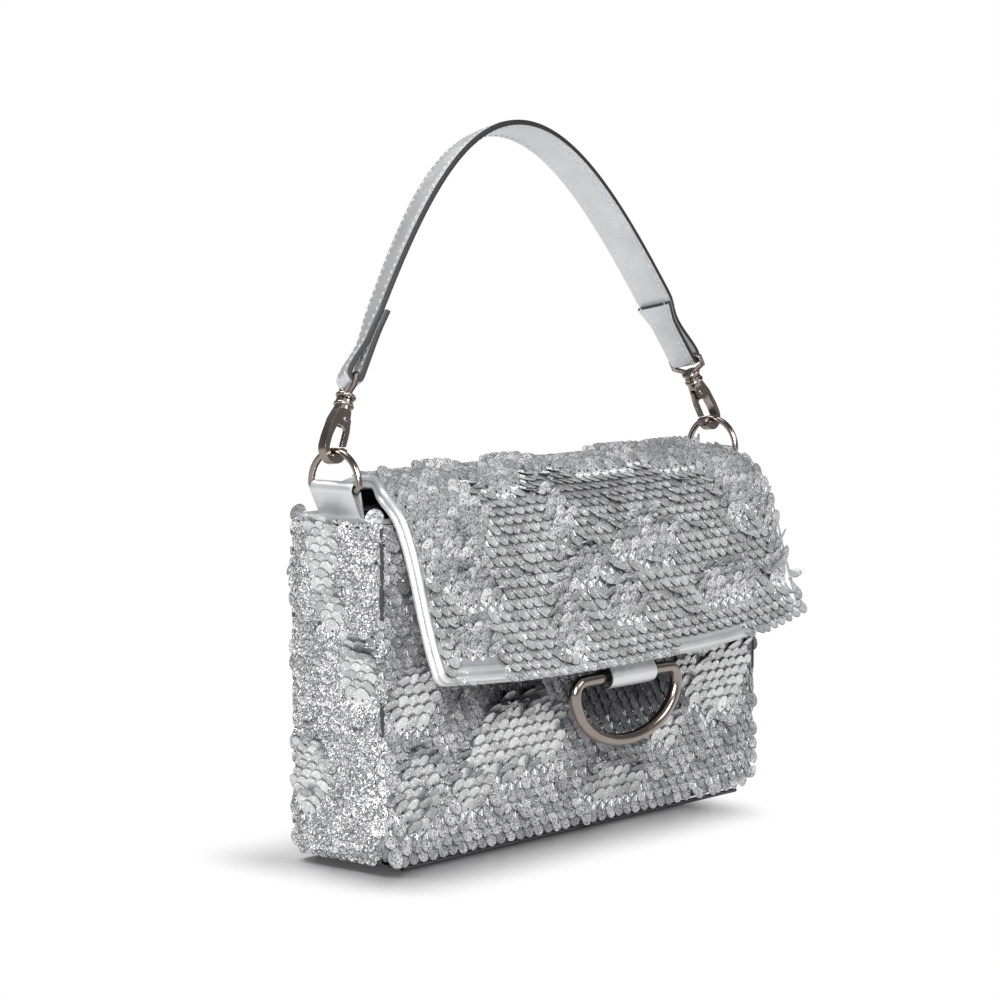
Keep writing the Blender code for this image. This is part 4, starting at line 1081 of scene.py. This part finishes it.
def strap_arch():
    """Middle line stations: point, distance, forward, across and outward directions."""
    slope = Vector((sin(strap_slope), 0, cos(strap_slope)))
    rise = interpolate_bezier(strap_start, strap_start + end_pull * slope,
                              strap_apex - Vector((apex_pull, 0, 0)), strap_apex, arch_points)
    points = rise + [Vector((-p.x, 0, p.z)) for p in reversed(rise[:-1])]
    lengths = [0.0]
    for first, second in zip(points, points[1:]):
        lengths.append(lengths[-1] + (second - first).length)
    across, stations = Vector((0, 1, 0)), []
    for k, point in enumerate(points):
        way = heading(points, k)
        twist = mix(end_twist, apex_twist, smooth(2 * lengths[k] / lengths[-1]))
        out = way.cross(across)
        stations.append((point, lengths[k], way, across * cos(twist) + out * sin(twist),
                         out * cos(twist) - across * sin(twist)))
    return stations


arch = strap_arch()
arch_length = arch[-1][1]


def strap_ply(station, sewn_back):
    """Middle, across, outward and half width on the main run, or on the end that is sewn back behind it."""
    point, length, _, wide, face = station
    from_end = min(length, arch_length - length)
    half = mix(strap_end_half, strap_half, smooth((from_end - strap_tongue) / strap_shoulder))
    merged = smooth(from_end / strap_merge)
    if sewn_back:
        return point - face * mix(fold_radius, strap_thickness + ply_gap, merged), wide, -face, half
    return point + face * fold_radius * (1 - merged), wide, face, half


def strap_fold(station, onward):
    """The half turn round the bar of an eye."""
    point, _, way, wide, face = station
    turns = [pi * k / fold_steps for k in range(1, fold_steps)]
    outs = [face * cos(turn) + way * onward * sin(turn) for turn in turns]
    return [(point + out * fold_radius, wide, out, strap_end_half) for out in outs]


def strap_stations():
    """The whole strap from one sewn end, round both eyes, to the other."""
    left = [strap_ply(s, True) for s in reversed(arch) if s[1] <= strap_return]
    right = [strap_ply(s, True) for s in reversed(arch) if s[1] >= arch_length - strap_return]
    main = [strap_ply(s, False) for s in arch]
    return left + strap_fold(arch[0], -1)[::-1] + main + strap_fold(arch[-1], 1) + right


print("strap arch", round(arch_length / mm), "mm between the eyes")

# %% Strap
def strap():
    rings, seams = [], [[], [], [], []]
    rise, turn = strap_thickness / 2 + thread_radius, handle_frame.to_3x3()
    for middle, wide, face, half in strap_stations():
        centre, wide, face = handle_frame @ middle, turn @ wide, turn @ face
        rings.append(band_ring(centre, wide, face, half, strap_thickness, strap_crown))
        for line, (side, over) in zip(seams, ((-1, 1), (1, 1), (-1, -1), (1, -1))):
            line.append((centre + wide * (side * (half - seam_inset)) + face * (over * rise), face * over))
    mesh = sweep("handle_strap", rings, band_zones)
    made = piece("handle_strap", mesh, [leather_material, paint_material], "handle", "silver_leather",
                 "strap_outer", "strap_lining")
    seam("strap_seam", seams, "handle")
    return made


print("the strap has", len(strap().data.polygons), "faces")

# %% [markdown]
# ## Ring tabs and pull loop
# Each D-ring hangs in a short leather tab folded over its bar, and the pull ring hangs in a wider loop
# behind the flap's lip. Both are a band along a plane line: up, round the bar and down again.

# %% Tabs and loop
loop_thickness, loop_step, loop_crown, bar_steps = 1.25 * mm, 1.5 * mm, 0.1 * mm, 18
tab_bar, tab_radius, tab_half, tab_ply = Vector((109.2, 135.1)) * mm, 2.2 * mm, 9.75 * mm, 0.8 * mm
tab_middle, tab_foot, tab_neck = 105.9 * mm, 110 * mm, body_top + 1.5 * mm
pull_depth, pull_radius, pull_half = 5.5 * mm, 3.45 * mm, 13 * mm
pull_drop, pull_rise, pull_ply = 6.5 * mm, 11.5 * mm, 1.6 * mm


def loop_line(foot_one, foot_two, centre, radius):
    """A line from one foot, round a bar and down to the other foot, as plane points."""
    turns = []
    for foot, side in ((foot_one, -1), (foot_two, 1)):
        away = foot - centre
        turns.append(atan2(away.y, away.x) + side * acos(radius / away.length))
    start, stop = turns
    while start < stop:
        start += 2 * pi
    arc = [start + (stop - start) * k / bar_steps for k in range(bar_steps + 1)]
    return [foot_one] + [centre + radius * Vector((cos(t), sin(t))) for t in arc] + [foot_two]


def leather_loop(name, line, half, place, wide, edge, body, node):
    """A band along a plane line. place turns a plane point or direction into space."""
    fine = []
    for first, second in zip(line, line[1:]):
        steps = max(1, round((second - first).length / loop_step))
        fine += [first.lerp(second, k / steps) for k in range(steps)]
    fine.append(line[-1])
    faces = [place(left_of(heading(fine, k))) for k in range(len(fine))]
    rings = [band_ring(place(point), wide, face, half, loop_thickness, loop_crown)
             for point, face in zip(fine, faces)]
    mesh = sweep(name, rings, band_zones)
    return piece(name, mesh, [leather_material, edge], body, "silver_leather", node)


def ring_tab(name, node, side):
    inner, outer = [[Vector((tab_middle + out, z)) for z in (tab_foot, tab_neck)]
                    for out in (-tab_ply, tab_ply)]
    line = [inner[0]] + loop_line(inner[1], outer[1], tab_bar, tab_radius) + [outer[0]]
    return leather_loop(name, line, tab_half, lambda p: Vector((side * p.x, 0, p.y)), Vector((0, 1, 0)),
                        leather_material, "body", node)


def pull_loop():
    lip_inward = left_of(lip_way)
    bar = lip_point + (pull_depth + pull_radius) * lip_inward + pull_drop * lip_way
    front = lip_point + pull_depth * lip_inward - pull_rise * lip_way
    line = loop_line(front + pull_ply * lip_inward, front, bar, pull_radius)
    return leather_loop("pull_loop_leather", line, pull_half, lambda p: at_x(0, p), Vector((1, 0, 0)),
                        paint_material, "flap", "pull_loop")


left_tab = ring_tab("left_tab_leather", "left_ring_tab", -1)
right_tab = ring_tab("right_tab_leather", "right_ring_tab", 1)
print(left_tab.name, right_tab.name, pull_loop().name)

# %% [markdown]
# ## Flap binding
# A strip of leather wraps the flap's edge: it laps a few millimetres on to the sequins' cloth, rolls
# over in two ridges with a sewn groove between them, and ends on the lining. The cross-section is drawn
# once, outward from the edge and up from the middle of the flap, and carried round sides and lip.

# %% Flap binding
binding_section = [(-4.2, 1.35), (-3.9, 1.6), (-2.2, 1.65), (-1.3, 1.8), (-0.7, 2.35), (0.4, 2.6),
                   (1.4, 2.15), (1.9, 1.35), (1.6, 0.6), (0.7, 0.12), (0.7, -0.12), (1.6, -0.6),
                   (1.9, -1.35), (1.55, -2.1), (0.7, -2.6), (-0.4, -2.75), (-2.2, -2.6), (-3.6, -2.3),
                   (-3.5, -2.0), (-2.0, -1.9), (-0.5, -1.3), (-0.5, 0.9), (-2.0, 1.2)]
binding_reach, binding_depth, turn_steps, lip_steps = 2.4 * mm, 2.3 * mm, 8, 29
binding_tuck, binding_groove, past_hem, hem_fade = 0.9 * mm, 0.85 * mm, 9, 14


def tucked(x):
    """How far the binding sits back along the lip, under the sequins that hang over it."""
    hem = max(smooth((half + past_hem - abs(x / mm - middle)) / hem_fade)
              for middle, _, half, _ in flap_bare)
    return binding_tuck * (1 - hem)


def binding_line(side):
    """Stations down one side of the flap and half its lip: centre, outward and up from the face."""
    stations = []
    for travelled in flap_runs:
        half = flap_half(travelled)
        flare = (flap_half(travelled + mm) - flap_half(travelled - mm)) / (2 * mm)
        along = Vector((flare, 1)).normalized()
        point, way, inward = flap_at(side * half, travelled)
        forward, up = at_x(0, way), -at_x(0, inward)
        edge = at_x(side * (half + binding_reach * sqrt(1 + flare * flare)), point + binding_depth * inward)
        stations.append((edge, Vector((side * along.y, 0, 0)) - forward * along.x, up))
    end = stations[-1][0] - Vector((side * binding_reach, 0, 0))
    for k in range(1, turn_steps + 1):
        turn = pi / 2 * k / turn_steps
        out = Vector((side * cos(turn), 0, 0)) + forward * sin(turn)
        stations.append((end + out * binding_reach - up * tucked(end.x) * k / turn_steps, out, up))
    for k in range(1, lip_steps + 1):
        x = mix(end.x, 0, k / lip_steps)
        point, way, inward = flap_at(x, flap_length)
        forward, place = at_x(0, way), at_x(x, point + (binding_depth + tucked(x)) * inward)
        stations.append((place + forward * binding_reach, forward, -at_x(0, inward)))
    return stations


def flap_binding():
    stations = binding_line(1) + binding_line(-1)[-2::-1]
    rings = [[p + (out * a + up * b) * mm for a, b in binding_section] for p, out, up in stations]
    mesh = sweep("flap_binding", rings, [0] * len(binding_section))
    made = piece("flap_binding", mesh, [leather_material], "flap", "silver_leather", "flap_piping")
    seam("binding_seam", [[(p + out * binding_groove, out) for p, out, up in stations[2:-2]]], "flap")
    return made


print("the binding has", len(flap_binding().data.polygons), "faces")

# %% [markdown]
# ## Mouth rim
# The mouth of the bag is edged with the same leather, turned over the panels' top and down into the
# bag. It is a rounded section carried round a rectangle with small round corners.

# %% Mouth rim
rim_section = [(2.5, -1.6), (2.1, -1.0), (2.2, -0.4), (2.6, -0.05), (3.4, 0.0), (4.8, -0.1), (6.2, -0.3),
               (6.7, -0.7), (6.5, -1.5), (3.6, -1.6)]
quarters = ((1, 1), (-1, 1), (-1, -1), (1, -1))


def mouth_rim():
    corner, top = 1.6 * mm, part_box("mouth_binding")[1].z - 0.6 * mm
    rings = []
    for quarter, (cx, cy) in enumerate(quarters):
        middle = Vector((cx * (half_width - corner), cy * (half_depth - corner), top))
        for part in range(6):
            turn = pi / 2 * (quarter + part / 5)
            out, slant = Vector((cos(turn), sin(turn), 0)), Vector((cx, cy, 0))
            rings.append([middle + out * max(corner - a * mm, 0.0) + slant * min(corner - a * mm, 0.0)
                          + Vector((0, 0, b * mm)) for a, b in rim_section])
    mesh = sweep("mouth_rim", rings, [0] * len(rim_section), loop=True)
    return piece("mouth_rim", mesh, [leather_material], "body", "silver_leather", "mouth_binding")


print("the rim has", len(mouth_rim().data.polygons), "faces")

# %% [markdown]
# ## Linings
# Inside, the bag and the flap are lined with black cloth. The bag's lining is a loose open sack, lofted
# through rounded rectangles that waver a little from height to height.

# %% Linings
lining_rows, lining_corner, lining_thickness, lining_drop = 25, 7 * mm, 0.8 * mm, 0.3 * mm
base_tuck, base_tuck_height, lining_slack, slack_size = 2.0 * mm, 7 * mm, 0.7 * mm, 24 * mm
corner_parts, long_parts, short_parts, layer_columns = 7, 11, 3, 40


def bag_lining():
    low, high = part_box("body_lining")
    rings = []
    for j in range(lining_rows):
        z = mix(high.z - lining_drop, low.z, j / (lining_rows - 1))
        tuck = base_tuck * smooth(1 - (z - low.z) / base_tuck_height)
        ring = []
        for quarter, (cx, cy) in enumerate(quarters):
            for turn in (pi / 2 * (quarter + k / corner_parts) for k in range(corner_parts + 1)):
                ring.append(Vector((cx * (high.x - lining_corner - tuck) + lining_corner * cos(turn),
                                    cy * (high.y - lining_corner - tuck) + lining_corner * sin(turn), z)))
            start, wide = ring[-1], quarter % 2 == 0
            tail = Vector((-start.x, start.y, z) if wide else (start.x, -start.y, z))
            steps = long_parts if wide else short_parts
            for k in range(1, steps):
                spot = start.lerp(tail, k / steps)
                slack = lining_slack * abs(wave(spot.x + spot.y, z, slack_size, 50.0 + quarter))
                ring.append(spot - slack * Vector((0, cy, 0) if wide else (cx, 0, 0)))
        rings.append(ring)
    mesh = sweep("bag_lining", rings, [0] * len(rings[0]), open_top=True)
    if mesh.polygons[-1].normal.z > 0:
        mesh.flip_normals()
    mesh.shade_smooth()
    made = piece("bag_lining", mesh, [lining_material], "body", "black_lining", "body_lining")
    return thicken(made, lining_thickness)


def flap_layer(name, depth, thickness, material, slot, node):
    """A plain sheet under the flap's cloth."""
    points = [[flap_spot(i / (layer_columns - 1), travelled, depth)[1] for travelled in flap_runs]
              for i in range(layer_columns)]
    made = piece(name, grid_mesh(name, points, (0, -1, 0.5)), [material], "flap", slot, node)
    return thicken(made, thickness)


lining = bag_lining()
underside = flap_layer("flap_underside", 3.9 * mm, 0.7 * mm, lining_material, "black_lining", "flap_lining")
print(lining.name, underside.name)

# %% [markdown]
# ## Back band and hinge
# Behind the hinge a band of the same sequinned cloth joins the flap to the back panel. It turns over
# the top edge in one soft bend. Band and flap are rigid here, so a slit would open between them as the
# flap lifts. On a real bag the net runs through; here a fixed strip of it lies under both edges.

# %% Back band and hinge cloth
band_y, band_foot, band_bend, band_columns = 24.3 * mm, 112 * mm, 126.3 * mm, 76
band_depth, band_lap, band_pull, bend_points, drop_steps = 1.0 * mm, 0.4 * mm, 4 * mm, 14, 8
hinge_columns, hinge_step, hinge_bend, hinge_thickness = 24, 0.65 * mm, 1.5 * mm, 0.4 * mm
hinge_top, hinge_foot, hinge_round = 0.9 * mm, 2.0 * mm, 2.6 * mm
crown_inward = left_of(crown_way)


def back_band():
    head = hinge_point + band_depth * crown_inward - band_lap * crown_way
    bend = Vector((band_y, band_bend))
    turn = interpolate_bezier(head, head - band_pull * crown_way, bend + Vector((0, band_pull)), bend,
                              bend_points)
    line = [Vector(p[:2]) for p in turn]
    line += [Vector((band_y, mix(band_bend, band_foot, k / drop_steps))) for k in range(1, drop_steps + 1)]
    half = flap_half(0)

    def spot(across, k):
        x, way = (2 * across - 1) * half, heading(line, k)
        edge = half - abs(x) < 2.5 * mm or k < 3 or k > len(line) - 3
        lay = (0.0, 0.12 * wave(x, line[k].y, 30 * mm, 61.0), 0.0)
        return at_x(x, line[k]), bare if edge else at_x(0, way), lay

    size = (2 * half, sum((second - first).length for first, second in zip(line, line[1:])))
    return sewn_cloth("back_band", "flap_back_band", "body", spot, band_columns, range(len(line)),
                      (0, 1, 0.3), size, 29, flap_sequin, (scale_tilt, turned_tilt))


def hinge_cloth():
    """A strip of the net under both edges at the hinge, as one fixed sheet on no body."""
    half, points = flap_half(0) - 1.0 * mm, []
    for i in range(hinge_columns):
        x, row = (2 * i / (hinge_columns - 1) - 1) * half, []
        for along in (hinge_step * k for k in range(-8, 9)):
            depth = mix(hinge_top, hinge_foot, smooth(abs(along) / hinge_round))
            row.append(at_x(x, hinge_point + along * crown_way + depth * crown_inward))
        points.append(row)
    sheet = grid_mesh("hinge_cloth", points, (0, 0.3, 1))
    made = thicken(piece("hinge_cloth", sheet, [net_material], None, "sequin_cloth"), hinge_thickness)
    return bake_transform(made)


back_band()
hinge_cloth()

# %% [markdown]
# ## Hidden pieces
# Boards, springs and magnets stay out of sight, but they are there, so each gets the finish of its
# material: pressed board is dull and mottled, drawn spring wire is bright, and a plated magnet is a soft
# mirror. The flap's board follows the flap's curve; the others keep the shape of their solids.

# %% Hidden pieces
def coat(material, *names):
    """Give solids of the frame their finish."""
    for name in names:
        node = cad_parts[name]
        node.data.materials.clear()
        node.data.materials.append(material)
    print(material.name, "on", len(names), "solids")


board_material, steel_material, magnet_material = [
    clouded(name, dark, pale, size, Metallic=metal, Roughness=rough)[0]
    for name, dark, pale, size, metal, rough in (
        ("grey_board", "#8a8985", "#a3a29d", 0.6 * mm, 0.0, 0.9),
        ("spring_steel_wire", "#8d9094", "#b4b7ba", 0.4 * mm, 1.0, 0.3),
        ("nickel_plated_magnet", "#9b9d9f", "#c2c4c6", 2 * mm, 1.0, 0.25))]
flap_layer("flap_stiffener", 2.5 * mm, 1.0 * mm, board_material, "stiffener", "flap_board")
coat(board_material, "front_board", "back_board", "base_board")
coat(steel_material, "left_gate_spring", "right_gate_spring")
coat(magnet_material, "panel_magnet", "flap_magnet")

# %% [markdown]
# ## Plated metal
# Rings, clasps and the pull are zinc castings, plated in dark nickel and polished. A polished metal is
# mostly what it reflects, so its colour is one warm grey and its roughness is low, with faint brushing
# and a little dulling where hands touch it. Polishing rounds every edge, so each piece is a copy of its
# solid: the bent wire of the rings is smoothed all over, and the castings lose only their sharp edges.

# %% Metal
touch_size, polish_size, nearly_same = 5 * mm, 0.7 * mm, 0.001 * mm
edge_round, sharp_angle, flat_angle = 0.25 * mm, radians(32), radians(8)


def dark_nickel():
    material, shader, add, place, cloud = clouded("dark_nickel_plate", "#8b817b", "#a0958e", touch_size,
                                                  3.0, Metallic=1.0)
    dulled = add(range_node, {0: cloud, 3: 0.14, 4: 0.26})
    fine = add(noise_node, {"Vector": place, "Scale": 1 / polish_size})
    soft = add(bump_node, {"Height": fine, "Strength": 0.04, "Distance": 0.1 * mm})
    fill(shader, {"Roughness": dulled, "Normal": soft})
    return material


def polished(name, body):
    """A rounded copy of a metal solid, in its place."""
    shape = bmesh.new()
    shape.from_mesh(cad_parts[name].data)
    bmesh.ops.remove_doubles(shape, verts=shape.verts, dist=nearly_same)
    bmesh.ops.join_triangles(shape, faces=shape.faces, angle_face_threshold=flat_angle,
                             angle_shape_threshold=pi)
    for face in shape.faces:
        face.smooth = True
    mesh = mesh_from(name + "_metal", shape)
    made = piece(name + "_metal", mesh, [nickel_material], body, "dark_nickel", name)
    if name.endswith("ring"):
        made.modifiers.new("round", "SUBSURF").levels = 2
    else:
        soften = made.modifiers.new("soften", "BEVEL")
        soften.width, soften.segments, soften.angle_limit = edge_round, 2, sharp_angle
        made.modifiers.new("even", "WEIGHTED_NORMAL")
    return plain_mesh(made)


nickel_material = dark_nickel()
for name, body in (("left_d_ring", "left_ring"), ("right_d_ring", "right_ring"), ("pull_ring", "pull_ring"),
                   ("left_hook", "left_hook"), ("right_hook", "right_hook"), ("left_gate", "left_gate"),
                   ("right_gate", "right_gate"), ("left_swivel_eye", "handle"),
                   ("right_swivel_eye", "handle")):
    print(len(polished(name, body).data.polygons), "faces on", name)
coat(nickel_material, "left_gate_pin", "right_gate_pin")

# %% [markdown]
# ## Beads and rivets
# Where hook and eye meet, each ends in a turned bead, and a rivet head shows on both faces of the hook.
# A lathe makes such details, so each is one small profile carried round an axis.

# %% Beads and rivets
turned_steps = 24
bead = [((3.15 + 0.62 * cos(pi * b / 4)) * mm, 0.75 * mm * sin(pi * b / 4)) for b in range(8)]
rivet = [(1.15 * mm, -0.3 * mm), (1.15 * mm, 0.12 * mm), (0.95 * mm, 0.34 * mm), (0.5 * mm, 0.45 * mm)]
clasp_lean, clasp_inset, clasp_height = radians(27), 0.8 * mm, 11.6 * mm
hook_bead_height, eye_bead_height = 17.6 * mm, 21.0 * mm
rivet_inset, rivet_out, rivet_height = 1.0 * mm, 1.8 * mm, 12.6 * mm


def turned_trim(name, place, profile, body, loop):
    """A small turned detail: a ring bead from a looped profile, or a rivet head from an open one."""
    turns = [2 * pi * k / turned_steps for k in range(turned_steps)]
    rings = [[place @ Vector((r * cos(a), r * sin(a), z)) for r, z in profile] for a in turns]
    if not loop:
        rings = list(zip(*rings))
    mesh = sweep(name, rings, [0] * len(rings[0]), loop)
    return piece(name, mesh, [nickel_material], body, "dark_nickel")


for word, side in (("left", -1), ("right", 1)):
    clasp = handle_frame @ Matrix.Translation((side * (half_width - clasp_inset), 0, clasp_height))
    clasp = clasp @ Matrix.Rotation(-side * clasp_lean, 4, "Y")
    for part, height, body in (("hook", hook_bead_height, word + "_hook"),
                               ("eye", eye_bead_height, "handle")):
        spot = clasp @ Matrix.Translation((0, 0, height))
        turned_trim(word + "_" + part + "_bead", spot, bead, body, True)
    for face, way in (("front", -1), ("back", 1)):
        spot = Matrix.Translation((-side * rivet_inset, way * rivet_out, rivet_height))
        spot = clasp @ spot @ Matrix.Rotation(-way * pi / 2, 4, "X")
        turned_trim(word + "_" + face + "_rivet", spot, rivet, word + "_hook", False)
print("beads and rivets on both clasps")

# %% [markdown]
# ## Closing the lesson
# One sequin of each kind, the stitch and the thread were patterns to copy. They could be hidden, but
# they are no part of the bag, so they go.

# %% Clear away the patterns and close
for used in (body_sequin, flap_sequin, stitch, thread):
    bpy.data.objects.remove(used)
